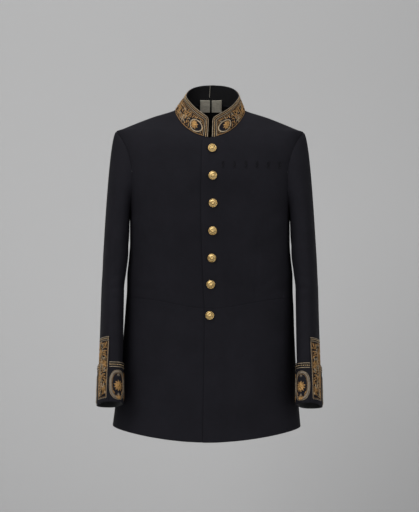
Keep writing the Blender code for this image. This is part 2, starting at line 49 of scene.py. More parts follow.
def smoothColumn(keys, values):
    # runs smoothly through the values, with no overshoot
    keys, values = np.array(keys, float), np.array(values, float)
    run = np.diff(keys)
    rise = np.diff(values) / run
    slopes = np.concatenate([[rise[0]], 0 * rise[1:], [rise[-1]]])
    for i in range(1, len(rise)):
        if rise[i - 1] * rise[i] > 0:
            a, b = 2 * run[i] + run[i - 1], run[i] + 2 * run[i - 1]
            slopes[i] = (a + b) / (a / rise[i - 1] + b / rise[i])

    def at(key):
        key = np.asarray(key, float)
        i = np.clip(np.searchsorted(keys, key) - 1, 0, len(run) - 1)
        t = np.clip((key - keys[i]) / run[i], 0, 1)
        ease = t * t * (3 - 2 * t)
        bend = slopes[i] * (t**3 - 2 * t**2 + t) + slopes[i + 1] * (t**3 - t**2)
        return values[i] * (1 - ease) + values[i + 1] * ease + run[i] * bend

    return at


def smoothTable(columns, rows):
    rows = sorted(rows)
    keys = [row[0] for row in rows]
    return {c: smoothColumn(keys, [row[i] for row in rows]) for i, c in enumerate(columns) if i}


def softEdge(value, start, end):
    # 0 before start, 1 after end
    t = np.clip((np.asarray(value, float) - start) / (end - start), 0, 1)
    return t * t * (3 - 2 * t)


# Body of the coat

bodyForm = {
    "wall": 2.0,
    "lapLift": 2.8, "lapFull": 22.0, "lapNone": 52.0,  # the lapping front, and where its lift falls off
    "leastFull": 0.05, "leastNone": 0.13,
    "armholeTop": -25.0, "armholeBottom": -232.0, "armholeY": -2.5, "armholeHalfDepth": 64.0,
    "sideSeam": 92.0, "backSeam": 152.0, "backSeamNotch": 240.0, "backSeamBow": 2.2,
    "waistSide": -420.0, "waistDip": 23.0, "waistFall": 7,
    "hemSide": -727.0, "hemDip": 22.0, "hemFall": 3,
    "frontTop": -49.0, "tabRise": 1.5, "tabEnd": 1.0, "underlap": 18.0,
    "backHeights": (-80.0, -38.0, -3.0, 24.0),
    "neckPoint": 7, "neckEnd": 11,
}

bodySections = smoothTable(
    ("z", "halfWidth", "front", "back", "seamY", "power", "shift"),
    (
        (62, 50, 6.5, 50, -8.0, 2.40, 0.0),
        (48, 62, 7.0, 62, -8.0, 2.40, 0.0),
        (39, 70, 7.8, 70, -8.0, 2.40, 0.0),
        (29, 80, 8.5, 77, -8.0, 2.40, 0.0),
        (10, 136, 28.6, 90, -6.8, 2.40, 0.0),
        (-8, 182, 49.0, 98, -4.5, 2.40, 0.0),
        (-20, 211, 63.0, 102, -3.0, 2.45, 0.0),
        (-25, 224, 69.0, 104, -2.5, 2.50, 0.0),
        (-43, 220, 84.5, 108, -1.5, 2.60, 0.0),
        (-70, 212, 97.0, 112, -1.0, 2.75, 0.0),
        (-100, 205, 104.0, 114, 0.0, 2.90, 0.0),
        (-150, 199, 109.0, 114, 0.0, 2.90, 0.2),
        (-232, 191, 109.0, 106, 0.0, 2.90, 0.7),
        (-290, 191, 106.5, 98, 0.0, 2.80, 1.2),
        (-330, 194, 104.0, 93, 0.0, 2.70, 1.5),
        (-370, 198, 102.0, 89, 0.0, 2.60, 1.7),
        (-403, 198.5, 101.0, 88, 0.0, 2.50, 1.7),
        (-443, 201, 102.0, 91, 0.0, 2.40, 1.5),
        (-500, 204, 109.0, 104, 0.0, 2.35, 0.4),
        (-600, 211.5, 121.0, 120, 0.0, 2.30, -1.8),
        (-727, 225, 135.0, 134, 0.0, 2.30, -4.3),
        (-760, 230, 139.0, 138, 0.0, 2.30, -4.8),
    ),
)

lapReach = smoothTable(
    ("z", "reach"),
    ((-749, 8.0), (-443, 12.0), (-400, 14.5), (-225, 20.0), (-75, 18.5), (-49, 17.5)),
)["reach"]

collarRings = smoothTable(
    ("step", "neckX", "neckZ", "rimX", "rimY", "rimZ"),
    (
        (0, 3.5, -43.2, 3.0, -72, 1),
        (1, 22, -38, 16, -66, 12),
        (2, 40, -30, 29, -58, 21),
        (3, 54, -19, 44, -44, 35),
        (4, 65, -7, 54, -27, 48),
        (5, 73, 6, 59, -13, 57),
        (6, 79, 18, 60.5, -2, 63),
        (7, 80, 29, 60, 8, 69),
        (8, 75.5, 33, 57, 19, 76),
        (9, 62, 39.5, 46, 34, 86),
        (10, 34, 45.5, 25, 44, 93),
        (11, 0, 48, 0, 47, 95),
    ),
)


def ovalReach(angle, power):
    return (np.abs(np.sin(angle)) ** power + np.abs(np.cos(angle)) ** power) ** (-1 / power)


def bodyPoint(angle, z, lift=0.0):
    # angle 0 is the front, 90 the wearer's left and 180 the back
    a = np.radians(angle)
    z = np.asarray(z, float)
    r = ovalReach(a, bodySections["power"](z))
    across = bodySections["halfWidth"](z) * np.sin(a) * r
    depth = np.where(np.cos(a) > 0, bodySections["front"](z), bodySections["back"](z))
    y = bodySections["seamY"](z) - depth * np.cos(a) * r
    fall = 1 - softEdge(np.abs(across), bodyForm["lapFull"], bodyForm["lapNone"])
    return np.stack([across, y - lift * fall * (np.cos(a) > 0), z + 0 * y], axis=-1)


def bodyNormal(angle, z, lift=0.0):
    along = bodyPoint(angle + 0.4, z, lift) - bodyPoint(angle - 0.4, z, lift)
    up = bodyPoint(angle, z + 0.8, lift) - bodyPoint(angle, z - 0.8, lift)
    n = np.cross(along, up)
    return n / np.linalg.norm(n, axis=-1, keepdims=True)


def angleFromDepth(y, z):
    n, middle = bodySections["power"](z), bodySections["seamY"](z)
    depth = np.where(y < middle, bodySections["front"](z), bodySections["back"](z))
    q = np.clip(np.abs(y - middle) / depth, 0, 1)
    p = (1 - q**n) ** (1 / n)
    return np.degrees(np.arctan2(p, np.where(y < middle, q, -q)))


def angleFromWidth(x, z, facing=1):
    n = bodySections["power"](z)
    p = np.clip(np.abs(x) / bodySections["halfWidth"](z), 0, 1)
    q = (1 - p**n) ** (1 / n)
    return np.degrees(np.arctan2(p * np.sign(x + 1e-9), facing * q))


def armhole(phi):
    # 0 is the shoulder point, 90 the front, 180 the armpit
    a = np.radians(phi)
    top, bottom = bodyForm["armholeTop"], bodyForm["armholeBottom"]
    z = (top + bottom) / 2 + (top - bottom) / 2 * np.cos(a)
    y = bodyForm["armholeY"] - bodyForm["armholeHalfDepth"] * np.sin(a)
    return np.stack([angleFromDepth(y, z), z], axis=-1)


def waistHeight(angle):
    fall = np.clip(np.cos(np.radians(angle)), 0, 1) ** bodyForm["waistFall"]
    return bodyForm["waistSide"] - bodyForm["waistDip"] * fall


def hemHeight(angle):
    fall = np.clip(np.cos(np.radians(angle)), 0, 1) ** bodyForm["hemFall"]
    return bodyForm["hemSide"] - bodyForm["hemDip"] * fall


def neckEdge(step):
    x, z = collarRings["neckX"](step), collarRings["neckZ"](step)
    facing = np.where(np.asarray(step) > bodyForm["neckPoint"], -1, 1)
    return np.stack([angleFromWidth(x, z, facing), z], axis=-1)


def evenSteps(first, last, count):
    step = np.linspace(first, last, 241)
    edge = neckEdge(step)
    return np.interp(np.linspace(0, 1, count + 1), runShare(bodyPoint(edge[:, 0], edge[:, 1])), step)


def runLength(points):
    return np.concatenate([[0], np.cumsum(np.linalg.norm(np.diff(points, axis=0), axis=1))])


def runShare(points):
    run = runLength(points)
    return run / run[-1]


def chain(*runs):
    return np.concatenate([runs[0], *[run[1:] for run in runs[1:]]])


def straight(a, b, count):
    t = np.linspace(0, 1, count + 1)[:, None]
    return (1 - t) * np.asarray(a, float) + t * np.asarray(b, float)


def frontEdge(z, lapping):
    reach = lapReach(z) if lapping else bodyForm["underlap"] + 0 * z
    return np.stack([-angleFromWidth(reach, z), z], axis=-1)


def backSeam(count):
    notch = armhole(bodyForm["backSeamNotch"])
    t = np.linspace(0, 1, count + 1)
    angle = bodyForm["backSeam"] + (notch[0] - bodyForm["backSeam"]) * t ** bodyForm["backSeamBow"]
    return np.stack([angle, bodyForm["waistSide"] + (notch[1] - bodyForm["waistSide"]) * t], axis=-1)


def ruled(left, right, shares):
    u = np.broadcast_to(shares, (len(left), np.shape(shares)[-1]))[..., None]
    return (1 - u) * left[:, None, :] + u * right[:, None, :]


def stepped(stops, counts):
    # shares between the stops, with that many steps in each stretch
    stops = np.atleast_2d(stops)
    parts = [stops[:, :1]]
    for i, count in enumerate(counts):
        t = np.linspace(0, 1, count + 1)[None, 1:]
        parts.append(stops[:, i : i + 1] * (1 - t) + stops[:, i + 1 : i + 2] * t)
    return np.concatenate(parts, axis=1)


def lapShare(left, right, reach):
    width = np.maximum(right[:, :1] - left[:, :1], 0.1)
    return (angleFromWidth(reach, left[:, 1:]) - left[:, :1]) / width


def frontShares(left, right, counts):
    full = np.maximum(lapShare(left, right, bodyForm["lapFull"]), bodyForm["leastFull"])
    none = np.maximum(lapShare(left, right, bodyForm["lapNone"]), bodyForm["leastNone"])
    return stepped(np.concatenate([0 * full, full, none, 0 * none + 1], axis=1), counts)


# Soft creases and darts of the body, as lines on the cloth seen from that face.
# Depth is inwards, so a negative one is a ridge.

bodyCreases = {
    # 1 on the wearer's left, -1 on the right or 0 on both, x and z of the two ends, width and depth
    "rows": (
        (1, 112, -248, 108, -436, 2.6, 0.9),  # darts
        (-1, 102, -300, 100, -436, 2.6, 0.9),
        (1, 112, -262, 108, -420, 15, 0.7),
        (-1, 102, -310, 100, -420, 15, 0.7),
        (1, 176, -205, 112, -262, 14, 0.9),  # drags from the armpits
        (-1, 176, -215, 108, -285, 14, 0.9),
        (1, 186, -235, 150, -300, 11, 0.7),
        (-1, 186, -240, 148, -310, 11, 0.8),
        (1, 190, -396, 132, -408, 10, 0.9),  # soft folds at the waist
        (-1, 190, -392, 128, -404, 10, 0.9),
        (1, 178, -360, 120, -382, 13, 0.6),
        (-1, 180, -352, 122, -376, 13, 0.6),
        (0, 60, -60, 150, -95, 20, 0.7),  # hollows below the collar bones
        (1, 62, -470, 74, -720, 26, -1.4),  # flutes of the skirts
        (-1, 66, -470, 80, -720, 26, -1.4),
        (1, 128, -470, 150, -722, 24, 1.5),
        (-1, 126, -470, 148, -722, 24, 1.4),
        (1, 178, -480, 205, -720, 18, -1.4),
        (-1, 178, -480, 205, -720, 18, -1.5),
    ),
    "backRows": (
        (0, 20, 20, 120, -12, 16, 0.9),
        (0, 160, -120, 120, -250, 18, 1.1),
        (0, 100, -395, 30, -405, 10, 1.0),
        (1, 90, -372, 25, -380, 11, 0.7),
        (-1, 92, -370, 25, -380, 11, 0.7),
        (0, 45, -470, 55, -722, 20, -2.0),
        (0, 100, -470, 118, -722, 22, 2.0),
        (0, 150, -480, 172, -720, 20, -1.8),
    ),
    "start": (-0.08, 0.3), "end": (0.78, 1.06),  # shares of a line over which it fades
    "neck": (-49, -90), "back": (100, 140),  # heights, or else angles, over which creases set in
}


def bodyRelief(angle, z, mirror):
    # outward height of the creases at a point, where mirror is -1 on the wearer's right
    point = bodyPoint(angle, z)
    relief = np.zeros(point.shape[:-1])
    front = np.cos(np.radians(angle)) > 0
    for rows, shown in ((bodyCreases["rows"], front), (bodyCreases["backRows"], ~front)):
        for face, x1, z1, x2, z2, width, depth in rows:
            if face not in (0, mirror):
                continue
            along = np.array((x2 - x1, z2 - z1), float)
            offset = point[..., (0, 2)] - (x1, z1)
            t = (offset @ along) / (along @ along)
            across = np.abs(offset[..., 0] * along[1] - offset[..., 1] * along[0]) / np.linalg.norm(along)
            ends = softEdge(t, *bodyCreases["start"]) * (1 - softEdge(t, *bodyCreases["end"]))
            relief -= shown * depth * ends * np.exp(-((across / width) ** 2))
    rim = softEdge(z, *bodyCreases["neck"]) + softEdge(np.abs(angle), *bodyCreases["back"])
    return relief * np.clip(rim, 0, 1)


# Materials

groupOutputs = {"Color": "NodeSocketColor", "Roughness": "NodeSocketFloat", "Height": "NodeSocketFloat"}


def newGroup(name, colours, numbers):
    group = bpy.data.node_groups.new(name, "ShaderNodeTree")
    for label in (*colours, *numbers):
        kind = "NodeSocketColor" if label in colours else "NodeSocketFloat"
        group.interface.new_socket(label, in_out="INPUT", socket_type=kind)
    for label, kind in groupOutputs.items():
        group.interface.new_socket(label, in_out="OUTPUT", socket_type=kind)
    return group, group.nodes.new("NodeGroupInput").outputs


def endGroup(group, *results):
    # the colour, roughness and height that the group gives
    out = group.nodes.new("NodeGroupOutput")
    for label, result in zip(groupOutputs, results):
        group.links.new(result, out.inputs[label])
    return group


def addNode(tree, kind, settings=(), **values):
    node = tree.nodes.new(kind)
    for key, value in dict(settings).items():
        setattr(node, key, value)
    for key, value in values.items():
        socket = node.inputs[int(key[1:])] if key[0] == "i" and key[1:].isdigit() else node.inputs[key]
        if isinstance(value, bpy.types.NodeSocket):
            tree.links.new(value, socket)
        else:
            socket.default_value = value
    return node


def math2(tree, operation, a, b=0.0, c=0.0):
    return addNode(tree, "ShaderNodeMath", {"operation": operation}, i0=a, i1=b, i2=c).outputs[0]


def mixColour(tree, factor, a, b):
    node = addNode(tree, "ShaderNodeMix", {"data_type": "RGBA"}, i0=factor, i6=a, i7=b)
    return node.outputs[2]


def objectMillimetres(tree, stretch=(1.0, 1.0, 1.0)):
    place = tree.nodes.new("ShaderNodeTexCoord").outputs["Object"]
    scale = tuple(1000 * s for s in stretch)
    return addNode(tree, "ShaderNodeVectorMath", {"operation": "MULTIPLY"}, i0=place, i1=scale).outputs[0]


def noise(tree, vector, scale, detail, roughness=0.5):
    node = addNode(tree, "ShaderNodeTexNoise", {}, Vector=vector, Scale=scale, Detail=detail)
    node.inputs["Roughness"].default_value = roughness
    return node.outputs["Fac"]


def varied(tree, tone, spots, amount):
    # lightens and darkens a tone by noise
    return math2(tree, "MULTIPLY_ADD", math2(tree, "SUBTRACT", spots, 0.5), amount, tone)


# Of each noise, the scale for each millimetre, the detail and the roughness

napForm = {
    "lie": (1.0, 1.0, 0.35), "fibres": (3.0, 0.6),
    "fluff": (2.4, 2.0), "broad": (0.014, 3.0, 0.55), "patchy": (0.09, 2.0), "patchiness": 0.35,
    "weave": 5.2, "fluffHeight": 0.5, "weaveHeight": 0.06, "roughness": (0.2, 0.74),
}

threadForm = {
    "roundness": 0.6, "stain": (0.16, 3.0, 0.6), "glint": (1.3, 1.0), "glinting": 0.5,
    "roughness": (0.3, 0.25),
}

metalForm = {"patches": (0.35, 3.0, 0.6), "scratches": (3.0, 2.0), "roughness": (0.2, 0.14)}


def makeWoolNap():
    # felted cloth: fine fibres lying downwards over a weave that barely shows
    group, given = newGroup("wool nap", ("Dark", "Light"), ("Fibre", "Mottle"))
    place = objectMillimetres(group)
    lying = objectMillimetres(group, napForm["lie"])
    fibres = noise(group, lying, math2(group, "DIVIDE", 1.0, given["Fibre"]), *napForm["fibres"])
    fluff, broad, patchy = (noise(group, place, *napForm[name]) for name in ("fluff", "broad", "patchy"))
    level = addNode(group, "ShaderNodeSeparateXYZ", {}, i0=place).outputs[2]
    weave = math2(group, "SINE", math2(group, "MULTIPLY", level, napForm["weave"]))
    tone = varied(group, fibres, broad, given["Mottle"])
    tone = varied(group, tone, patchy, napForm["patchiness"])
    colour = mixColour(group, tone, given["Dark"], given["Light"])
    height = math2(group, "MULTIPLY_ADD", fluff, napForm["fluffHeight"], fibres)
    height = math2(group, "MULTIPLY_ADD", weave, napForm["weaveHeight"], height)
    return endGroup(group, colour, math2(group, "MULTIPLY_ADD", fibres, *napForm["roughness"]), height)


def makeThreadLay():
    # threads laid side by side across a stitched shape, read from its own map in millimetres; the grooves
    # between threads are darker, partly the dark ground showing there and partly painted shade
    group, given = newGroup("thread lay", ("Dark", "Light"), ("Pitch", "Slant", "Tarnish"))
    lay = addNode(group, "ShaderNodeUVMap", {"uv_map": "threads"}).outputs[0]
    parts = addNode(group, "ShaderNodeSeparateXYZ", {}, i0=lay)
    across = math2(group, "ABSOLUTE", parts.outputs[1])
    along = math2(group, "MULTIPLY_ADD", across, given["Slant"], parts.outputs[0])
    turn = math2(group, "MULTIPLY", math2(group, "DIVIDE", along, given["Pitch"]), math.pi)
    ridge = math2(group, "ABSOLUTE", math2(group, "SINE", turn))
    ridge = math2(group, "POWER", ridge, threadForm["roundness"])
    place = objectMillimetres(group)
    stain, glint = (noise(group, place, *threadForm[name]) for name in ("stain", "glint"))
    tone = varied(group, ridge, stain, given["Tarnish"])
    tone = varied(group, tone, glint, threadForm["glinting"])
    # Dark is painted shade in the grooves between the threads and Light is their crowns
    colour = mixColour(group, tone, given["Dark"], given["Light"])
    return endGroup(group, colour, math2(group, "MULTIPLY_ADD", glint, *threadForm["roughness"]), ridge)


def makeHandledMetal():
    # gilt that hands have dulled in soft patches
    group, given = newGroup("handled metal", ("Bright", "Dull"), ("Dulling",))
    place = objectMillimetres(group)
    patches, scratches = (noise(group, place, *metalForm[name]) for name in ("patches", "scratches"))
    share = math2(group, "MULTIPLY", patches, given["Dulling"])
    colour = mixColour(group, share, given["Bright"], given["Dull"])
    return endGroup(group, colour, math2(group, "MULTIPLY_ADD", patches, *metalForm["roughness"]), scratches)


finishGroups = {"nap": makeWoolNap(), "thread": makeThreadLay(), "metal": makeHandledMetal()}

finishes = {
    "black broadcloth": {
        "group": "nap", "Dark": (0.0056, 0.0054, 0.0074, 1), "Light": (0.0115, 0.0110, 0.0150, 1),
        "Fibre": 0.9, "Mottle": 0.8, "bump": 0.35, "bumpDepth": 0.12,
        "sockets": {"Specular IOR Level": 0.10},
    },
    "black lining": {
        "group": "nap", "Dark": (0.0020, 0.0020, 0.0024, 1), "Light": (0.0052, 0.0052, 0.0058, 1),
        "Fibre": 0.6, "Mottle": 0.9, "bump": 0.25, "bumpDepth": 0.1,
        "sockets": {"Specular IOR Level": 0.16},
    },
    # a lighter satin inside the sleeves, made lighter still as painted light in the shaded mouth of the cuffs
    "sleeve lining with painted light": {
        "group": "nap", "Dark": (0.012, 0.012, 0.0125, 1), "Light": (0.030, 0.030, 0.031, 1),
        "Fibre": 0.6, "Mottle": 0.6, "bump": 0.2, "bumpDepth": 0.08,
        "sockets": {"Specular IOR Level": 0.4},
    },
    "gold bullion": {
        "group": "thread", "Dark": (0.050, 0.023, 0.008, 1), "Light": (0.50, 0.285, 0.105, 1),
        "Pitch": 0.62, "Slant": 0.8, "Tarnish": 1.3, "bump": 0.9, "bumpDepth": 0.24,
        "sockets": {"Metallic": 0.7},
    },
    "silver gilt cord": {
        "group": "thread", "Dark": (0.07, 0.053, 0.036, 1), "Light": (0.49, 0.39, 0.26, 1),
        "Pitch": 0.9, "Slant": 1.4, "Tarnish": 0.9, "bump": 0.8, "bumpDepth": 0.25,
        "sockets": {"Metallic": 0.6},
    },
    "pale satin stitch": {
        "group": "thread", "Dark": (0.045, 0.034, 0.026, 1), "Light": (0.175, 0.138, 0.098, 1),
        "Pitch": 0.5, "Slant": 0.0, "Tarnish": 1.1, "bump": 0.4, "bumpDepth": 0.12,
        "sockets": {"Metallic": 0.35},
    },
    "gilt bead": {
        "group": "metal", "Bright": (0.52, 0.395, 0.23, 1), "Dull": (0.16, 0.10, 0.05, 1),
        "Dulling": 0.8, "bump": 0.15, "bumpDepth": 0.05, "sockets": {"Metallic": 0.95},
    },
    "gilt button": {
        "group": "metal", "Bright": (0.90, 0.69, 0.34, 1), "Dull": (0.42, 0.26, 0.08, 1),
        "Dulling": 0.8, "bump": 0.12, "bumpDepth": 0.05, "sockets": {"Metallic": 1.0},
    },
    "gilt button field": {
        "group": "metal", "Bright": (0.46, 0.29, 0.09, 1), "Dull": (0.20, 0.11, 0.03, 1),
        "Dulling": 0.8, "bump": 0.3, "bumpDepth": 0.08, "sockets": {"Metallic": 1.0},
    },
    "black silk": {
        "group": "thread", "Dark": (0.003, 0.003, 0.004, 1), "Light": (0.011, 0.0105, 0.012, 1),
        "Pitch": 0.5, "Slant": 0.0, "Tarnish": 0.2, "bump": 0.6, "bumpDepth": 0.15,
        "sockets": {"Specular IOR Level": 0.08},
    },
    "pale thread": {
        "group": "thread", "Dark": (0.10, 0.095, 0.085, 1), "Light": (0.34, 0.33, 0.30, 1),
        "Pitch": 0.8, "Slant": 0.6, "Tarnish": 0.3, "bump": 0.5, "bumpDepth": 0.15, "sockets": {},
    },
    "cream tape": {
        "group": "thread", "Dark": (0.21, 0.19, 0.145, 1), "Light": (0.56, 0.52, 0.43, 1),
        "Pitch": 0.55, "Slant": 0.0, "Tarnish": 1.5, "bump": 0.4, "bumpDepth": 0.1,
        "sockets": {"Sheen Weight": 0.1},
    },
}


def makeFinish(name):
    facts = finishes[name]
    made = bpy.data.materials.new(name)
    made.use_nodes = True
    tree = made.node_tree
    shader = tree.nodes["Principled BSDF"]
    group = tree.nodes.new("ShaderNodeGroup")
    group.node_tree = finishGroups[facts["group"]]
    for key, value in facts.items():
        if key in group.inputs:
            group.inputs[key].default_value = value
    for key, value in facts["sockets"].items():
        shader.inputs[key].default_value = value
    tree.links.new(group.outputs["Color"], shader.inputs["Base Color"])
    tree.links.new(group.outputs["Roughness"], shader.inputs["Roughness"])
    bump = addNode(tree, "ShaderNodeBump", {}, Strength=facts["bump"], Height=group.outputs["Height"])
    bump.inputs["Distance"].default_value = facts["bumpDepth"] * mm
    tree.links.new(bump.outputs[0], shader.inputs["Normal"])
    made.diffuse_color = facts.get("Light", facts.get("Bright"))
    return made


materials = {name: makeFinish(name) for name in finishes}
print("finishes made:", len(materials))


# Cloth pieces

clothForm = {"seam": 0.005, "edgeRound": 0.9, "edgeSteps": 2, "edgeFrom": 60.0, "sharp": 50.0}


def placed(points, side, shift=None):
    # mirrors the wearer's right side and adds the lean of the hanging cloth
    out = np.array(points, float)
    if side == "right":
        out[..., 0] *= -1
    out[..., 0] += bodySections["shift"](out[..., 2]) if shift is None else shift
    return out


def trimmed(grid, amount):
    out = grid.copy()
    for edge, following in ((np.s_[:, 0], np.s_[:, 1]), (np.s_[:, -1], np.s_[:, -2]),
                            (np.s_[0], np.s_[1]), (np.s_[-1], np.s_[-2])):
        step = grid[following] - grid[edge]
        length = np.maximum(np.linalg.norm(step, axis=-1, keepdims=True), 1e-6)
        out[edge] += np.minimum(amount, 0.3 * length) * step / length
    return out


def cutSize(grid):
    # the widest and the longest way across the flat cut, and its area
    width = max(runLength(row)[-1] for row in grid)
    length = max(runLength(grid[:, c])[-1] for c in range(grid.shape[1]))
    across, up = grid[:-1, 1:] - grid[:-1, :-1], grid[1:, :-1] - grid[:-1, :-1]
    area = np.linalg.norm(np.cross(across, up), axis=-1).sum()
    return round(width * mm, 3), round(length * mm, 3), round(area * mm * mm, 5)


def clothPiece(nodes, grid, thickness, side, inner, outer="black broadcloth",
               rounded=True):
    # a grid of the outer face, shaped in place and given its wall towards the inside
    rows, cols = grid.shape[:2]
    bpy.ops.mesh.primitive_grid_add(x_subdivisions=cols - 1, y_subdivisions=rows - 1, size=2)
    piece = bpy.context.object
    piece.name = piece.data.name = f"coat_{nodes[0]}"
    flat = np.empty(len(piece.data.vertices) * 3)
    piece.data.vertices.foreach_get("co", flat)
    flat = flat.reshape(-1, 3)
    c = np.rint((flat[:, 0] + 1) / 2 * (cols - 1)).astype(int)
    r = np.rint((flat[:, 1] + 1) / 2 * (rows - 1)).astype(int)
    piece.data.vertices.foreach_set("co", (grid[r, c] * mm).ravel())
    piece.data.update()
    layer = piece.data.uv_layers[0]
    layer.name = "threads"
    run, rise = runLength(grid[rows // 2])[-1], runLength(grid[:, cols // 2])[-1]
    for loop in layer.data:
        loop.uv = (loop.uv[0] * run, (loop.uv[1] - 0.5) * rise)
    if side == "right":
        bpy.ops.object.mode_set(mode="EDIT")
        bpy.ops.mesh.select_all(action="SELECT")
        bpy.ops.mesh.flip_normals()
        bpy.ops.object.mode_set(mode="OBJECT")
    piece.data.materials.append(materials[outer])
    piece.data.materials.append(materials[inner])
    wall = piece.modifiers.new("wall", "SOLIDIFY")
    wall.thickness = thickness * mm
    wall.offset = -1
    wall.material_offset = 1
    wall.use_quality_normals = True
    bpy.ops.object.modifier_apply(modifier="wall")
    if rounded:
        edge = piece.modifiers.new("edge", "BEVEL")
        edge.width = clothForm["edgeRound"] * mm
        edge.segments = clothForm["edgeSteps"]
        edge.limit_method = "ANGLE"
        edge.angle_limit = math.radians(clothForm["edgeFrom"])
        bpy.ops.object.modifier_apply(modifier="edge")
    bpy.ops.object.shade_smooth_by_angle(angle=math.radians(clothForm["sharp"]))
    piece.select_set(False)
    width, length, area = cutSize(grid)
    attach(piece, "root")
    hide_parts(*nodes)


def bodyPanel(node, side, domain, lift=0.0):
    angle, z = domain[..., 0], domain[..., 1]
    normal = bodyNormal(angle, z, lift)
    relief = bodyRelief(angle, z, 1 if side == "left" else -1)
    grid = bodyPoint(angle, z, lift) + relief[..., None] * normal
    grid = placed(trimmed(grid, clothForm["seam"]), side)
    clothPiece([f"{node}_{side}"], grid, bodyForm["wall"], side, "black lining")


forepartCut = {
    "openingRows": 120, "tabRows": 2, "neckRows": 32, "armRows": 84,
    "columns": (7, 10, 56), "waistFade": 4,
}


def forepart(side):
    lapping = side == "left"
    bottom = bodyForm["waistSide"] - bodyForm["waistDip"]
    top, rise = bodyForm["frontTop"], bodyForm["tabRise"]
    opening = frontEdge(np.linspace(bottom, top, forepartCut["openingRows"] + 1), lapping)
    tabEnd = (-float(angleFromWidth(bodyForm["tabEnd"], top + rise)), top + rise)
    neck = neckEdge(evenSteps(0, bodyForm["neckPoint"], forepartCut["neckRows"]))
    tab = chain(straight(opening[-1], tabEnd, forepartCut["tabRows"]),
                straight(tabEnd, neck[0], forepartCut["tabRows"]))
    left = chain(opening, tab, neck)
    arm = armhole(np.linspace(180.0, 0.0, forepartCut["armRows"] + 1))
    side0 = (bodyForm["sideSeam"], bodyForm["waistSide"])
    right = chain(straight(side0, arm[0], len(left) - len(arm)), arm)
    shares = frontShares(left, right, forepartCut["columns"])
    grid = ruled(left, right, shares)
    level = np.clip(lapShare(left, right, bodyForm["lapNone"]), 0, 1)
    past = np.clip((shares - level) / (1 - level), 0, 1)
    grid[..., 1] = left[:, None, 1] + past * (right[:, None, 1] - left[:, None, 1])
    low = np.linspace(1, 0, len(left))[:, None] ** forepartCut["waistFade"]
    grid[..., 1] += low * (waistHeight(grid[0, :, 0]) - grid[0, :, 1])[None, :]
    bodyPanel("forepart", side, grid, bodyForm["lapLift"] if lapping else 0.0)


sideBodyCut = {"rows": 99, "columns": 18, "topFade": 3}


def sideBody(side):
    rows, columns = sideBodyCut["rows"], sideBodyCut["columns"]
    left = straight((bodyForm["sideSeam"], bodyForm["waistSide"]), armhole(180.0), rows)
    grid = ruled(left, backSeam(rows), np.linspace(0, 1, columns + 1))
    top = armhole(np.linspace(180.0, bodyForm["backSeamNotch"], columns + 1))
    weight = np.linspace(0, 1, rows + 1)[:, None, None] ** sideBodyCut["topFade"]
    bodyPanel("side_body", side, grid + weight * (top - grid[-1])[None])


backCut = {
    "skirtRows": 72, "seamRows": 72, "shoulderRows": 36, "neckRows": 36,
    "columns": 54, "crowding": 1.15,
}


def backPanel(side):
    waist, hem = bodyForm["waistSide"], bodyForm["hemSide"]
    heights = bodyForm["backHeights"]
    neck = neckEdge(evenSteps(bodyForm["neckPoint"], bodyForm["neckEnd"], backCut["neckRows"]))[::-1]
    stops = np.array([(180.0, z) for z in (*heights, neck[0][1])])
    upper = np.linspace(0, len(heights), backCut["shoulderRows"] + 1)
    centre = np.stack([np.interp(upper, range(len(stops)), stops[:, i]) for i in (0, 1)], axis=-1)
    left = chain(
        straight((180, hem), (180, waist), backCut["skirtRows"]),
        straight((180, waist), (180, heights[0]), backCut["seamRows"]),
        centre,
        neck,
    )
    seam = bodyForm["backSeam"]
    armRows = backCut["shoulderRows"] + backCut["neckRows"]
    arm = armhole(np.linspace(bodyForm["backSeamNotch"], 360.0, armRows + 1))
    below = straight((seam, hem), (seam, waist), backCut["skirtRows"])
    right = chain(below, backSeam(backCut["seamRows"]), arm)
    shares = 1 - np.linspace(1, 0, backCut["columns"] + 1) ** backCut["crowding"]
    bodyPanel("back", side, ruled(right, left, shares))


skirtCut = {"rows": 76, "columns": (7, 9, 120)}


def skirt(side):
    lapping = side == "left"
    down = np.linspace(0, 1, skirtCut["rows"] + 1)
    left = frontEdge(waistHeight(0.0) + (hemHeight(0.0) - waistHeight(0.0)) * down, lapping)
    seam = bodyForm["backSeam"]
    right = straight((seam, bodyForm["waistSide"]), (seam, bodyForm["hemSide"]), skirtCut["rows"])
    angle = ruled(left, right, frontShares(left, right, skirtCut["columns"]))[..., 0]
    z = waistHeight(angle) + (hemHeight(angle) - waistHeight(angle)) * down[:, None]
    grid = np.stack([angle, z], axis=-1)[::-1]
    bodyPanel("skirt", side, grid, bodyForm["lapLift"] if lapping else 0.0)


for coatSide in coatSides:
    forepart(coatSide)
    sideBody(coatSide)
    backPanel(coatSide)
    skirt(coatSide)
print("body panels made")


# Sleeves

sleeveForm = {
    "power": 2.6, "armTop": -262.0, "armBottom": -668.0,
    "capRows": 34, "armRows": 110, "step": 3,
    "frontNotch": 135, "backNotch": -105,
    "rim": 0.2, "capCrowding": 1.8, "capBow": (0.5, 0.7, 1.0),
}

sleeveSections = smoothTable(
    ("z", "x", "y", "halfX", "halfY", "yaw", "pitch", "shift"),
    (
        (-262, 222.5, -5, 29.5, 70, 6, 0, 1.0),
        (-320, 225.5, -8, 29.6, 72, 7, 0, 1.4),
        (-360, 228.6, -11, 27.7, 71, 8, 2, 1.7),
        (-403, 231.8, -17, 25.9, 70, 9, 5, 1.7),
        (-460, 232.1, -30, 25.9, 67, 10, 9, 1.8),
        (-520, 232.3, -47, 25.9, 64, 11, 12, 2.0),
        (-575, 232.6, -65, 25.9, 61, 12, 13, 2.2),
        (-625, 232.2, -82, 26.2, 58, 13, 14, 2.4),
        (-668, 231.4, -96, 26.6, 56, 14, 14, 2.5),
    ),
)

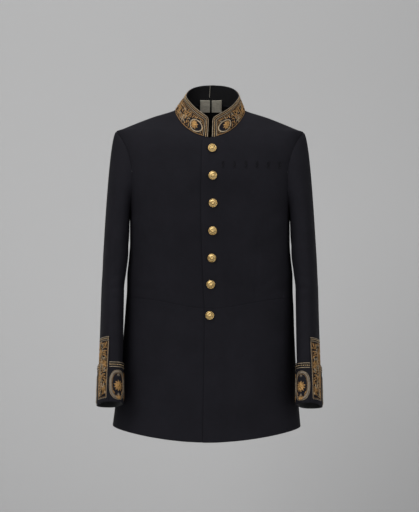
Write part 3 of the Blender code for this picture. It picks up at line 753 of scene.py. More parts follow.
sleeveCreases = {
    # angle round the sleeve, height, slant, reach, width and depth
    "rows": (
        (95, -372, 12, 42, 9, 1.1),  # inside of the elbow
        (100, -402, 4, 46, 8, 1.3),
        (95, -432, -8, 42, 9, 1.0),
        (60, -345, 22, 34, 12, 0.7),
        (-80, -398, 6, 40, 12, 0.8),  # outside of the elbow
        (-85, -430, -4, 40, 10, 0.6),
        (30, -300, 35, 44, 16, 0.6),
        (150, -290, -20, 36, 12, 0.9),
        (20, -500, 30, 40, 16, 0.5),
    ),
    "angleSize": 1.1, "fade": (-540, -500),
}


def sectionPoint(z, phi, grow=0.0):
    # 0 is the outer side and 90 the front
    a = np.radians(phi)
    r = ovalReach(a, sleeveForm["power"])
    across = (sleeveSections["halfX"](z) + grow) * np.cos(a) * r
    depth = -(sleeveSections["halfY"](z) + grow) * np.sin(a) * r
    yaw, pitch = np.radians(sleeveSections["yaw"](z)), np.radians(sleeveSections["pitch"](z))
    x = sleeveSections["x"](z) + across * np.cos(yaw) + depth * np.sin(yaw)
    level = depth * np.cos(yaw) - across * np.sin(yaw)
    return np.stack([x, sleeveSections["y"](z) + level * np.cos(pitch), z - level * np.sin(pitch)], axis=-1)


def sleeveRelief(phi, z):
    relief = np.zeros(np.broadcast(phi, z).shape)
    for middle, height, turn, reach, width, depth in sleeveCreases["rows"]:
        away = (phi - middle + 180) % 360 - 180
        along = away * sleeveCreases["angleSize"]
        across = z - height - along * math.tan(math.radians(turn))
        relief -= depth * np.exp(-((along / reach) ** 4)) * np.exp(-((across / width) ** 2))
    return relief * softEdge(z, *sleeveCreases["fade"])


def armholeRim(phi, reach):
    def edge(p):
        place = armhole(p)
        return bodyPoint(place[..., 0], place[..., 1])

    place = armhole(phi)
    normal = bodyNormal(place[..., 0], place[..., 1])
    away = np.cross(normal, edge(phi + 1.0) - edge(phi - 1.0))
    away /= np.linalg.norm(away, axis=-1, keepdims=True)
    return edge(phi) + reach * away


def sleeveGrid(phi):
    start = armholeRim(phi, sleeveForm["rim"])
    end = sectionPoint(np.full(len(phi), sleeveForm["armTop"]), phi)
    rows, shift = [], []
    atBody = bodySections["shift"](start[:, 2])
    for share in np.linspace(0, 1, sleeveForm["capRows"] + 1)[:-1] ** sleeveForm["capCrowding"]:
        rows.append(start + (end - start) * share ** np.array(sleeveForm["capBow"]))
        shift.append((1 - share) * atBody + share * sleeveSections["shift"](sleeveForm["armTop"]))
    for z in np.linspace(sleeveForm["armTop"], sleeveForm["armBottom"], sleeveForm["armRows"] + 1):
        level = np.full(len(phi), z)
        rows.append(sectionPoint(level, phi, sleeveRelief(phi, level)))
        shift.append(sleeveSections["shift"](level))
    return np.array(rows)[::-1], np.array(shift)[::-1]


def sleevePanel(node, side, first, last):
    count = abs(last - first) // sleeveForm["step"]
    grid, shift = sleeveGrid(np.linspace(first, last, count + 1))
    grid = placed(trimmed(grid, clothForm["seam"]), side, shift)
    nodes = [f"{node}_{part}_{side}" for part in ("sleeve", "elbow", "forearm")]
    clothPiece(nodes, grid[:, ::-1], bodyForm["wall"], side, "sleeve lining with painted light")


for coatSide in coatSides:
    sleevePanel("top", coatSide, sleeveForm["backNotch"], sleeveForm["frontNotch"])
    sleevePanel("under", coatSide, sleeveForm["frontNotch"], sleeveForm["backNotch"] + 360)
print("sleeves made")


# Needlework: shapes drawn flat, in millimetres along and up a piece, then laid on its surface

needleForm = {
    "across": (-1, -0.62, 0, 0.62, 1), "dome": (0, 0.78, 1, 0.78, 0), "vein": (0, 1, 0.62, 1, 0),
    "beadRings": ((1.0, 0.0), (0.9, 0.55), (0.5, 0.93)),  # radius and height
    "cordRise": 0.62, "veinFrom": 2.6,
    "leafSpan": (0.02, 0.985), "leafFull": 0.72, "leafSlim": 0.85,
    "leafRise": (0.35, 0.28, 1.5), "leastWidth": 0.1, "leastRise": 0.08,
}


def newWork():
    return {"points": [], "faces": [], "maps": [], "finishes": [], "count": 0}


def addShape(work, points, faces, lay, finish):
    start = work["count"]
    work["points"].append(points)
    work["faces"] += [tuple(start + i for i in face) for face in faces]
    work["maps"].append(lay)
    work["finishes"] += [finish] * len(faces)
    work["count"] += len(points)


def blade(work, path, halfWidths, heights, finish, profile="dome", base=0.0):
    # a padded, stitched band along a path, closed all round
    path = np.asarray(path, float)
    count = len(path)
    tangent = np.gradient(path, axis=0)
    tangent /= np.maximum(np.linalg.norm(tangent, axis=1, keepdims=True), 1e-9)
    sideways = np.stack([-tangent[:, 1], tangent[:, 0]], axis=-1)
    half = np.broadcast_to(halfWidths, count)
    rise = np.broadcast_to(heights, count)
    across = np.array(needleForm["across"], float)
    spread = across[None, :] * half[:, None]
    flat = path[:, None, :] + sideways[:, None, :] * spread[..., None]
    high = base + rise[:, None] * np.array(needleForm[profile], float)[None, :]
    points = np.concatenate([flat, high[..., None]], axis=-1).reshape(-1, 3)
    run = np.broadcast_to(runLength(path)[:, None], spread.shape)
    faces = []
    for i in range(count - 1):
        a, b = 5 * i, 5 * i + 5
        faces += [(a + k, b + k, b + k + 1, a + k + 1) for k in range(4)]
        faces.append((a + 4, b + 4, b, a))
    last = 5 * (count - 1)
    faces += [(0, 1, 2, 3, 4), tuple(last + k for k in (4, 3, 2, 1, 0))]
    addShape(work, points, faces, np.stack([run, spread], axis=-1).reshape(-1, 2), finish)


def bead(work, x, y, radius, height, finish, long=1.0, turn=0.0, base=0.0, sides=7):
    around = np.arange(sides) * math.tau / sides
    ring = np.stack([np.cos(around) * long, np.sin(around)], axis=-1)
    c, s = math.cos(math.radians(turn)), math.sin(math.radians(turn))
    ring = ring @ np.array(((c, s), (-s, c)))
    points = [(x + radius * k * px, y + radius * k * py, base + height * h)
              for k, h in needleForm["beadRings"] for px, py in ring]
    points.append((x, y, base + height))
    faces = [tuple(range(sides))[::-1]]
    pairs = [(i, (i + 1) % sides) for i in range(sides)]
    for r in (0, sides):
        faces += [(r + i, r + j, r + sides + j, r + sides + i) for i, j in pairs]
    faces += [(2 * sides + i, 2 * sides + j, 3 * sides) for i, j in pairs]
    lay = np.zeros((len(points), 2))
    addShape(work, np.array(points), faces, lay, finish)


def bentPath(x, y, heading, length, bend, count):
    # starts at a point and turns by bend degrees on the way
    angle = np.radians(heading + bend * np.linspace(0, 1, count))
    middle = (angle[1:] + angle[:-1]) / 2
    step = length / (count - 1)
    xs = x + np.concatenate([[0], np.cumsum(np.cos(middle))]) * step
    ys = y + np.concatenate([[0], np.cumsum(np.sin(middle))]) * step
    return np.stack([xs, ys], axis=-1)


def spaced(path, pitch):
    run = runLength(path)
    at = np.linspace(0, run[-1], max(int(round(run[-1] / pitch)), 1) + 1)
    return np.stack([np.interp(at, run, path[:, i]) for i in (0, 1)], axis=-1)


def cord(work, path, width, finish, height=None, pitch=1.6):
    rise = width * needleForm["cordRise"] if height is None else height
    blade(work, spaced(path, pitch), width / 2, rise, finish)


def beadRow(work, path, pitch, radius, height, finish, long):
    points = spaced(path, pitch)
    way = np.gradient(points, axis=0)
    for (x, y), (dx, dy) in zip(points, way):
        bead(work, x, y, radius, height, finish, long=long, turn=math.degrees(math.atan2(dy, dx)))


def leaf(work, x, y, heading, length, width, bend=0.0, finish="gold bullion", base=0.0, count=8):
    s = np.clip(np.linspace(0, 1, count), *needleForm["leafSpan"])
    swell = np.sin(math.pi * s ** needleForm["leafFull"]) ** needleForm["leafSlim"]
    half = np.maximum(width / 2 * swell, needleForm["leastWidth"])
    least, byWidth, most = needleForm["leafRise"]
    rise = np.maximum(min(most, least + byWidth * width) * swell**0.8, needleForm["leastRise"])
    profile = "vein" if width > needleForm["veinFrom"] else "dome"
    blade(work, bentPath(x, y, heading, length, bend, count), half, rise, finish, profile, base)


rosetteForm = {
    # first angle as a share of a petal, then start, length and width as shares of the radius, and base
    "petals": ((0, 0.2, 0.82, 4.1, 0.2), (0.5, 0.1, 0.48, 2.6, 0.9)),
    "heart": 0.2, "heartHeight": 1.0, "heartBase": 1.2,
    "seeds": 6, "seedAt": 0.27, "seed": 0.09, "seedHeight": 0.6, "seedBase": 1.3,
}


def rosette(work, x, y, radius, petals):
    # two rounds of petals, a round heart and a ring of seeds
    for first, start, length, width, base in rosetteForm["petals"]:
        for i in range(petals):
            way = 360 * (i + first) / petals
            dx, dy = math.cos(math.radians(way)), math.sin(math.radians(way))
            leaf(work, x + start * radius * dx, y + start * radius * dy, way, length * radius,
                 width * radius / petals, 0, "gold bullion", base)
    bead(work, x, y, rosetteForm["heart"] * radius, rosetteForm["heartHeight"], "gilt button field",
         base=rosetteForm["heartBase"], sides=10)
    away = rosetteForm["seedAt"] * radius
    for i in range(rosetteForm["seeds"]):
        way = math.tau * i / rosetteForm["seeds"]
        bead(work, x + away * math.cos(way), y + away * math.sin(way), rosetteForm["seed"] * radius,
             rosetteForm["seedHeight"], "gilt button field", base=rosetteForm["seedBase"])


def ovalPath(x, y, rx, ry, pitch, power=2.0):
    t = np.radians(np.linspace(0, 360, int(5 * (rx + ry) / pitch)))
    r = ovalReach(t, power)
    return np.stack([x + rx * r * np.cos(t), y + ry * r * np.sin(t)], axis=-1)


foliageForm = {
    "scatter": 0.12, "sweep": (48, 70), "silver": 0.16, "sizes": (1.0, 0.75, 0.5), "vary": (0.85, 1.1),
    "bend": 34, "raised": (0, 0.5), "rowPitch": 0.84,
}


def foliage(work, span, low, high, eyes, taken, pitch, length, width, seed):
    # closely set leaves that sweep round each eye, one way and then the other
    chance = np.random.default_rng(seed)
    level = min(float(low(u)) for u in np.linspace(*span, 30))
    top = max(float(high(u)) for u in np.linspace(*span, 30))
    spread, bend = foliageForm["scatter"], foliageForm["bend"]
    odd = False
    while level < top:
        for u in np.arange(span[0] + odd * pitch / 2, span[1], pitch):
            x, y = np.array((u, level)) + chance.uniform(-spread, spread, 2) * pitch
            gaps = [math.hypot(x - ex, y - ey) - clear for ex, ey, clear in eyes]
            nearest = gaps.index(min(gaps))
            ex, ey, clear = eyes[nearest]
            turn = 1 if nearest % 2 == 0 else -1
            if math.hypot(x - ex, y - ey) < clear:
                continue
            heading = math.degrees(math.atan2(y - ey, x - ex)) + turn * chance.uniform(*foliageForm["sweep"])
            finish = "silver gilt cord" if chance.random() < foliageForm["silver"] else "gold bullion"
            for share in foliageForm["sizes"]:
                size = share * length * chance.uniform(*foliageForm["vary"])
                path = bentPath(x, y, heading, size, turn * bend, 5)
                inSpan = (path[:, 0] > span[0]) & (path[:, 0] < span[1])
                inField = (path[:, 1] > low(path[:, 0])) & (path[:, 1] < high(path[:, 0]))
                free = all((((path - (a, b)) / (p, q)) ** 2).sum(axis=1).min() > 1 for a, b, p, q in taken)
                if (inSpan & inField).all() and free:
                    leaf(work, x, y, heading, size, width * share**0.5, turn * bend, finish,
                         chance.uniform(*foliageForm["raised"]), 7)
                    break
        level += pitch * foliageForm["rowPitch"]
        odd = not odd


def sew(work, name, surface):
    # lays the flat work on a surface and makes it one piece
    flat = np.concatenate(work["points"])
    points = surface(flat[:, 0], flat[:, 1], flat[:, 2])
    u, v = float(flat[:, 0].mean()), float(flat[:, 1].mean())
    spot = surface(np.array((u, u + 1, u, u)), np.array((v, v, v + 1, v)), np.array((0.0, 0, 0, 1)))
    du, dv, out = spot[1] - spot[0], spot[2] - spot[0], spot[3] - spot[0]
    faces = work["faces"]
    if np.dot(np.cross(du, dv), out) < 0:
        faces = [face[::-1] for face in faces]
    mesh = bpy.data.meshes.new(name)
    mesh.from_pydata((points * mm).tolist(), [], faces)
    lay = np.concatenate(work["maps"])
    layer = mesh.uv_layers.new(name="threads")
    corners = np.empty(len(mesh.loops), int)
    mesh.loops.foreach_get("vertex_index", corners)
    layer.data.foreach_set("uv", lay[corners].ravel())
    used = sorted(set(work["finishes"]))
    for finish in used:
        mesh.materials.append(materials[finish])
    mesh.polygons.foreach_set("material_index", [used.index(f) for f in work["finishes"]])
    mesh.polygons.foreach_set("use_smooth", [True] * len(mesh.polygons))
    mesh.update()
    piece = bpy.data.objects.new(name, mesh)
    bpy.context.collection.objects.link(piece)
    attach(piece, "root")


# Stand collar

collarForm = {
    "wall": 2.6, "lean": 6.0, "leanReach": 60.0, "leanFront": 0.25, "neckReach": 0.3, "foot": -0.9,
    "corner": 10.0, "leastCorner": 2.5, "seat": 0.4, "pointSeat": 0.9, "pointReach": 0.8,
    "frontSteps": (0.0, 0.2, 0.55), "rows": 20, "columns": 110, "crowding": 1.25,
}

collarWork = {
    # distance from the edge, width and finish
    "cords": ((1.2, 1.7, "silver gilt cord"), (10.6, 1.7, "silver gilt cord"), (14.4, 1.3, "gold bullion")),
    "beadInset": 5.9, "beads": (3.7, 1.5, 1.3, "gilt bead", 1.05),  # pitch, radius, height, finish, length
    "beadLeaf": (2.9, 5.8, 0.9),  # distance from the beads, length and width
    "footCord": (11.5, 1.5, 1.8), "end": 1.0,  # start, height and width, and how far short it ends
    "ring": (34.0, 18.4, 17.6, 13.6, 1.6),  # middle, half width, half height and half thickness
    "ringHeight": 1.5,
    "rosette": (39.0, 19.2, 11.6, 9),
    "eyes": ((66, 14, 4.6), (98, 26, 4.6), (130, 14, 4.4), (161, 24, 4.2), (192, 12, 4.0), (220, 19, 4.0)),
    "eyePetals": 7, "eyeGap": 0.6,
    "fieldLow": 3.4, "fieldInset": 16.2, "ringGap": 2.4, "ringEye": 3.0,
    "frontSpan": (16.6, 52.5), "frontLeaves": (4.6, 6.2, 2.8, 3),  # pitch, length, width and seed
    "backFrom": 52.0, "backLeaves": (6.2, 10.4, 3.15, 5),
    "facingSeam": ((7.0, 1.4), (3.9, 30.0)),  # ends, as distances from the centre back and from the top
    "facingStitches": 7, "facingStitch": 0.92, "facingThread": (0.7, "cream tape", 0.4, 0.9),
}


def collarShape(side):
    # base and rim of the outer face, by the distance along its middle from the front edge
    front = evenSteps(0, bodyForm["neckPoint"], 8)
    behind = evenSteps(bodyForm["neckPoint"], bodyForm["neckEnd"], 4)
    first = front[0] + (front[1] - front[0]) * np.array(collarForm["frontSteps"])
    step = np.concatenate([first, front[1:], behind[1:]])
    path = neckEdge(step)
    lift = bodyForm["lapLift"] if side == "left" else 0.0
    base = bodyPoint(path[:, 0], path[:, 1], lift)
    normal = bodyNormal(path[:, 0], path[:, 1], lift)
    away = np.cross(np.gradient(base, axis=0), normal)
    away /= np.linalg.norm(away, axis=1, keepdims=True)
    outward = away * (1, 1, 0)
    outward /= np.linalg.norm(outward, axis=1, keepdims=True)
    fromPoint = (step - bodyForm["neckPoint"]) / collarForm["pointReach"]
    seat = collarForm["seat"] + collarForm["pointSeat"] * np.exp(-(fromPoint**2))
    low = base + (collarForm["neckReach"] + collarForm["wall"]) * away + seat[:, None] * normal
    rim = np.stack([collarRings[c](step) for c in ("rimX", "rimY", "rimZ")], axis=-1)
    high = rim + collarForm["wall"] * outward
    run = runLength((low + high) / 2)
    lean = collarForm["leanFront"]
    reached = np.clip(runLength(base) / collarForm["leanReach"], 0, 1)
    return {
        "length": run[-1],
        "low": [smoothColumn(run, low[:, i]) for i in range(3)],
        "high": [smoothColumn(run, high[:, i]) for i in range(3)],
        "lean": smoothColumn(run, lean + (1 - lean) * reached),
    }


def collarEdges(shape, u):
    return [np.stack([f(u) for f in shape[edge]], axis=-1) for edge in ("low", "high")]


def collarSurface(side, shape):
    def flatPoint(u, v):
        low, high = collarEdges(shape, u)
        level = v / np.linalg.norm(high - low, axis=-1)
        out = placed(low + (high - low) * level[..., None], side, 0.0)
        out[..., 0] += level * collarForm["lean"] * shape["lean"](u)
        return out

    def surface(u, v, h):
        u, v = np.clip(np.asarray(u, float), 0, shape["length"]), np.asarray(v, float)
        along = flatPoint(u + 0.6, v) - flatPoint(u - 0.6, v)
        n = np.cross(along, flatPoint(u, v + 0.6) - flatPoint(u, v - 0.6))
        n *= (1 if side == "left" else -1) / np.linalg.norm(n, axis=-1, keepdims=True)
        return flatPoint(u, v) + np.asarray(h)[..., None] * n

    return surface


def collarTop(shape, u):
    low, high = collarEdges(shape, u)
    into = np.clip(collarForm["corner"] - u, 0, collarForm["corner"])
    drop = collarForm["corner"] - np.sqrt(collarForm["corner"] ** 2 - into**2)
    return np.linalg.norm(high - low, axis=-1) - drop


def collarBorder(shape, inset):
    # up the front edge, round the corner and along the top
    full = collarTop(shape, np.array([collarForm["corner"] + 1.0]))[0]
    radius = max(collarForm["corner"] - inset, collarForm["leastCorner"])
    turn = np.radians(np.linspace(180, 90, 9))
    cx, cy = inset + radius, full - inset - radius
    corner = np.stack([cx + radius * np.cos(turn), cy + radius * np.sin(turn)], axis=-1)
    u = np.linspace(cx + 2, shape["length"] - 0.3, 90)
    top = np.stack([u, collarTop(shape, u) - inset], axis=-1)
    return np.concatenate([[(inset, 1.0)], corner, top])


def collarHalf(side):
    shape = collarShape(side)
    surface = collarSurface(side, shape)
    share = np.linspace(0, 1, collarForm["columns"] + 1) ** collarForm["crowding"]
    u = share * (shape["length"] - clothForm["seam"])
    foot = collarForm["foot"]
    level = np.linspace(0, 1, collarForm["rows"] + 1)
    grid = np.array([surface(u, foot + (collarTop(shape, u) - foot) * k, 0 * u) for k in level])
    clothPiece([f"collar_{side}"], grid, collarForm["wall"], side, "black lining")

    work = newWork()
    for inset, width, finish in collarWork["cords"]:
        cord(work, collarBorder(shape, inset), width, finish)
    border = collarBorder(shape, collarWork["beadInset"])
    beadRow(work, border, *collarWork["beads"])
    end = shape["length"] - collarWork["end"]
    start, level, width = collarWork["footCord"]
    cord(work, np.array(((start, level), (end, level))), width, "gold bullion")
    beadLine = spaced(border, collarWork["beads"][0])
    reach, length, width = collarWork["beadLeaf"]
    for a, b in zip(beadLine, beadLine[1:]):
        way = math.degrees(math.atan2(*(b - a)[::-1])) + 90
        tip = bentPath(*(a + b) / 2, way, reach, 0, 2)[1]
        leaf(work, *tip, way + 180, length, width, 0, "gold bullion", 0.0, 5)
    x, y, rx, ry, half = collarWork["ring"]
    blade(work, ovalPath(x, y, rx, ry, pitch=1.2), half, collarWork["ringHeight"], "silver gilt cord")
    rosette(work, *collarWork["rosette"])
    steps = np.linspace(0, shape["length"], 200)
    high = smoothColumn(steps, collarTop(shape, steps) - collarWork["fieldInset"])
    low = smoothColumn((0, end), (collarWork["fieldLow"],) * 2)
    taken = ((x, y, rx + collarWork["ringGap"], ry + collarWork["ringGap"]),)
    ringEye = ((x, y, collarWork["ringEye"]),)
    foliage(work, collarWork["frontSpan"], low, high, ringEye, taken, *collarWork["frontLeaves"])
    eyes = collarWork["eyes"]
    foliage(work, (collarWork["backFrom"], end), low, high, eyes, taken, *collarWork["backLeaves"])
    for u, v, clear in eyes:
        rosette(work, u, v, clear - collarWork["eyeGap"], collarWork["eyePetals"])
    sew(work, f"collar_embroidery_{side}", surface)


def facingSeam():
    # the pale seam inside the back of the collar
    shape = collarShape("right")
    surface = collarSurface("right", shape)

    def inside(u, v, h):
        return surface(u, v, -collarForm["wall"] - h)

    work = newWork()
    a, b = collarWork["facingSeam"]
    length = shape["length"]
    top = float(collarTop(shape, np.array([length - a[0]]))[0])
    path = straight((length - a[0], top - a[1]), (length - b[0], top - b[1]), collarWork["facingStitches"])
    for p, q in zip(path, path[1:]):
        cord(work, np.array((p, p + collarWork["facingStitch"] * (q - p))), *collarWork["facingThread"])
    sew(work, "collar_facing_seam", inside)


for coatSide in coatSides:
    collarHalf(coatSide)
facingSeam()
print("collar made")


# Cuffs and the tall strips beside them

cuffForm = {
    "seat": 0.4, "wall": 2.0, "bottom": -668.0, "cuffTop": -577.0, "stripTop": -521.0,
    "stripFrom": 8.0, "stripTo": 66.0, "gapAngle": 0.9, "middle": -623.0, "pitch": 2.6, "stripPitch": 2.2,
}

cuffWork = {
    "border": (3.2, 8.4, 13.4), "stripBorder": (1.4, 5.0, 9.0),  # cord, beads and cord below the top edge
    "borderCord": 1.7, "cordEnd": 0.8, "beadEnd": 2.4, "beads": (4.6, 1.5, 1.3, "gilt bead", 1.3),
    "medallions": 4, "firstMedallion": 22.5, "lastMedallion": 45.0, "medallionLevel": 37.5,
    "medallion": (21.4, 32.0), "fullness": 2.5, "frame": 6.2, "frameHeight": 1.5,
    "frameCords": ((0.2, 0.9, "silver gilt cord"), (-6.4, 0.8, "gold bullion")),  # outset, width and finish
    "rosette": (1, -2, 12.6, 11),
    # height above the middle, heading, turns, length and its loss by turn, width, bend, finish and base
    "sprays": (
        (-24.8, 90, (-40, -14, 14, 40), 9, 0.08, 2.4, -0.8, "pale satin stitch", 0.0),
        (24.8, -90, (-50, -18, 18, 50), 7, 0, 1.7, -0.8, "pale satin stitch", 0.0),
        (-31.5, 90, (-66, -40, -14, 14, 40, 66), 10, 0, 2.6, -0.5, "gold bullion", 1.0),
    ),
    "sideLeaf": (9, -19.8, 20, 10, 2.2, 30),  # across and above the middle, turn, length, width and bend
    "between": ((-26, 9), (0, 12), (26, 9)), "betweenInset": 13, "betweenWidth": 2.2, "betweenBend": -0.6,
    "bottom": 7.5, "stripTaper": 5.5,
    "stripCords": ((1.2, 1.1, "silver gilt cord"), (3.2, 1.0, "gold bullion")),
    "stripCordTop": 2.2, "stripField": (5.0, 1.6), "stripLeaves": (5.8, 9.6, 3.8, 9),
    "stripEyes": ((27, 20, 2.2), (31, 47, 3.4), (23, 74, 3.0), (31, 100, 3.2), (24, 124, 2.6)),
    "eyeBead": (0.5, 1.2, 0.4),  # radius as a share of the eye's, height and base
    "eyePetals": 6, "eyePetal": (0.95, 1.3, 20),  # length as a share, width and bend
    # across from the middle, height, heading, length, bend and width
    "stems": (
        (-7, 13.5, 66, 32, 48, 2.0), (6, 34, 112, 30, -44, 1.9),
        (-6, 60, 66, 30, 46, 1.8), (5, 88, 112, 30, -44, 1.7),
    ),
    "stemTaper": 0.7, "stemRise": 0.7, "stemBase": 0.9,
}


def sleeveSurface(side, first, last):
    # distances round the sleeve from the first angle, and up from its lower edge
    phi = np.linspace(first - 2, last + 2, 721)
    middle = np.full(len(phi), cuffForm["middle"])
    run = runLength(sectionPoint(middle, phi, cuffForm["seat"] + cuffForm["wall"]))
    start = float(np.interp(first, phi, run))

    def surface(u, v, h):
        angle = np.interp(np.asarray(u, float) + start, run, phi)
        z = cuffForm["bottom"] + np.asarray(v, float)
        grow = cuffForm["seat"] + cuffForm["wall"] + np.asarray(h, float)
        return placed(sectionPoint(z, angle, grow), side, sleeveSections["shift"](z))

    return surface, float(np.interp(last, phi, run)) - start


def cuffGround(node, side, top, surface, length, pitch):
    columns, rows = int(length / pitch), int((top - cuffForm["bottom"]) / pitch)
    u = np.linspace(0, length, columns + 1)
    v = np.linspace(0, top - cuffForm["bottom"], rows + 1)
    grid = np.array([surface(u, np.full(len(u), level), 0.0) for level in v])[:, ::-1]
    clothPiece([f"{node}_{side}"], grid, cuffForm["wall"], side, "sleeve lining with painted light")


def topBorder(work, length, levels):
    # two cords with a row of beads between them
    end = cuffWork["cordEnd"]
    for level in (levels[0], levels[2]):
        path = np.array(((end, level), (length - end, level)))
        cord(work, path, cuffWork["borderCord"], "silver gilt cord")
    end = cuffWork["beadEnd"]
    beadRow(work, np.array(((end, levels[1]), (length - end, levels[1]))), *cuffWork["beads"])


def medallion(work, x, y):
    (rx, ry), full, half = cuffWork["medallion"], cuffWork["fullness"], cuffWork["frame"] / 2
    band = ovalPath(x, y, rx - half, ry - half, 1.3, full)
    blade(work, band, half, cuffWork["frameHeight"], "pale satin stitch")
    for outset, width, finish in cuffWork["frameCords"]:
        cord(work, ovalPath(x, y, rx + outset, ry + outset, 1.6, full), width, finish)
    across, up, radius, petals = cuffWork["rosette"]
    rosette(work, x + across, y + up, radius, petals)
    for up, heading, turns, length, loss, width, bend, finish, base in cuffWork["sprays"]:
        for turn in turns:
            size = length - loss * abs(turn)
            leaf(work, x, y + up, heading + turn, size, width, bend * turn, finish, base)
    across, up, turn, length, width, bend = cuffWork["sideLeaf"]
    for k in (-1, 1):
        leaf(work, x + across * k, y + up, 90 - turn * k, length, width, -bend * k)


def cuff(side):
    first = cuffForm["stripTo"] + cuffForm["gapAngle"]
    last = 360 + cuffForm["stripFrom"] - cuffForm["gapAngle"]
    surface, length = sleeveSurface(side, first, last)
    cuffGround("cuff", side, cuffForm["cuffTop"], surface, length, cuffForm["pitch"])
    top = cuffForm["cuffTop"] - cuffForm["bottom"]
    work = newWork()
    topBorder(work, length, [top - inset for inset in cuffWork["border"]])
    level, count = cuffWork["medallionLevel"], cuffWork["medallions"]
    reach = cuffWork["medallion"][1] - cuffWork["betweenInset"]
    pitch = (length - cuffWork["firstMedallion"] - cuffWork["lastMedallion"]) / (count - 1)
    for i in range(count):
        x = cuffWork["firstMedallion"] + pitch * i
        medallion(work, x, level)
        if i == count - 1:
            break
        for way in (1, -1):
            for turn, size in cuffWork["between"]:
                leaf(work, x + pitch / 2, level + way * reach, way * 90 + turn, size,
                     cuffWork["betweenWidth"], cuffWork["betweenBend"] * turn)
    sew(work, f"cuff_embroidery_{side}", surface)


def cuffStrip(side):
    surface, length = sleeveSurface(side, cuffForm["stripFrom"], cuffForm["stripTo"])
    cuffGround("cuff_strip", side, cuffForm["stripTop"], surface, length, cuffForm["stripPitch"])
    top = cuffForm["stripTop"] - cuffForm["bottom"]
    work = newWork()
    borders = [top - inset for inset in cuffWork["stripBorder"]]
    topBorder(work, length, borders)
    bottom, taper = cuffWork["bottom"], cuffWork["stripTaper"]
    high = borders[2] - cuffWork["stripCordTop"]
    for u, width, finish in cuffWork["stripCords"]:
        low = bottom + u
        path = np.array(((u, high), (u, low), (length - u - taper, low), (length - u, high)))
        cord(work, path, width, finish)
    eyes = cuffWork["stripEyes"]
    inset, topInset = cuffWork["stripField"]
    edge, top = length - inset, borders[2] - topInset
    low = smoothColumn((0, edge - taper, edge), (bottom + inset, bottom + inset, top))
    high = smoothColumn((0, edge), (top, top))
    foliage(work, (inset, edge), low, high, eyes, (), *cuffWork["stripLeaves"])
    radius, height, base = cuffWork["eyeBead"]
    petal, width, bend = cuffWork["eyePetal"]
    count = cuffWork["eyePetals"]
    for u, v, clear in eyes:
        bead(work, u, v, radius * clear, height, "gilt bead", base=base, sides=9)
        for i in range(count):
            leaf(work, u, v, 360 * i / count, petal * clear, width, bend, "silver gilt cord", 0.1, 5)
    for across, up, heading, reach, bend, width in cuffWork["stems"]:
        path = bentPath(length / 2 + across, up, heading, reach, bend, 16)
        slim = width * np.linspace(1, cuffWork["stemTaper"], len(path))
        rise = cuffWork["stemRise"] * slim
        blade(work, path, slim / 2, rise, "silver gilt cord", base=cuffWork["stemBase"])
    sew(work, f"strip_embroidery_{side}", surface)


for coatSide in coatSides:
    cuff(coatSide)
    cuffStrip(coatSide)
print("cuffs made")


# Labels inside the back of the neck, left bare

labelForm = {
    "seat": 1.5, "wall": 1.0, "bottom": 32.5, "top": 59.0, "steps": 14,
    "spans": {"left": (4.3, 29.0), "right": (-24.8, -0.3)},
    "stitchInset": 1.3, "stitch": 1.9, "stitchPitch": 2.9, "stitchWidth": 0.25, "stitchRise": (0.1, 0.3, 0.1),
}


def labelSurface(u, v, h):
    angle = angleFromWidth(u, v, -1)
    depth = bodyForm["wall"] + labelForm["seat"] + labelForm["wall"] + np.asarray(h, float)
    return bodyPoint(angle, v) - depth[..., None] * bodyNormal(angle, v)


def neckLabel(side):
    low, high = labelForm["spans"][side]
    bottom, top = labelForm["bottom"], labelForm["top"]
    u = np.linspace(low, high, labelForm["steps"])
    level = np.linspace(bottom, top, labelForm["steps"])
    grid = np.array([labelSurface(u, np.full(len(u), v), 0 * u) for v in level])
    clothPiece([f"label_{side}"], grid, labelForm["wall"], "left", "cream tape", "cream tape",
               rounded=False)
    work = newWork()
    inset, half, pitch = labelForm["stitchInset"], labelForm["stitch"] / 2, labelForm["stitchPitch"]
    corners = ((low, bottom), (high, bottom), (high, top), (low, top), (low, bottom))
    for a, b in zip(corners, corners[1:]):
        way = np.sign(np.subtract(b, a))
        inwards = np.array((-way[1], way[0])) * inset
        span = float(np.abs(np.subtract(b, a)).sum())
        for k in range(int((span - 2 * inset) / pitch)):
            middle = np.array(a) + inwards + way * (inset + pitch * (k + 0.5))
            path = np.array((middle - way * half, middle, middle + way * half))
            blade(work, path, labelForm["stitchWidth"], labelForm["stitchRise"], "pale thread")
    sew(work, f"label_stitches_{side}", labelSurface)


for coatSide in coatSides:
    neckLabel(coatSide)
print("labels made")


# Buttons

buttonForm = {
    "shankHeight": 1.6, "seat": 0.75, "lift": 2.8, "sides": 48, "sharp": 50.0,
    # radius and height from the back of the shank over the rim and up the dome
    "profile": (
        (2.6, -1.6), (2.6, 0.0), (8.9, 0.0), (9.8, 0.25), (10.0, 0.75), (9.8, 1.4), (9.3, 1.9), (8.9, 1.95),
        (8.5, 1.65), (8.1, 2.2), (7.4, 3.1), (6.5, 3.9), (5.6, 4.5), (5.1, 4.78), (4.6, 4.6), (3.4, 4.9),
        (1.6, 5.1),
    ),
    "top": 5.1, "topSize": (1.1, 1.1, 0.8), "closeRise": 0.04,
    "field": 5.15, "fieldHeights": (4.0, 5.12), "fieldLevel": 0.9, "fieldFace": 0.28e-6,
    "petals": 8, "petalAt": 2.5, "petalSize": (2.1, 0.95, 0.85), "petalHeight": 4.85,
    "beads": 24, "beadAt": 8.9, "beadSize": 0.62, "beadHeight": 1.95,
    # height, and distance from the centre line
    "places": (
        (-71.7, 5.5), (-135.6, 7.0), (-199.2, 7.5), (-263.0, 6.5), (-326.0, 4.5), (-387.5, 2.0),
        (-459.3, 0.5),
    ),
}


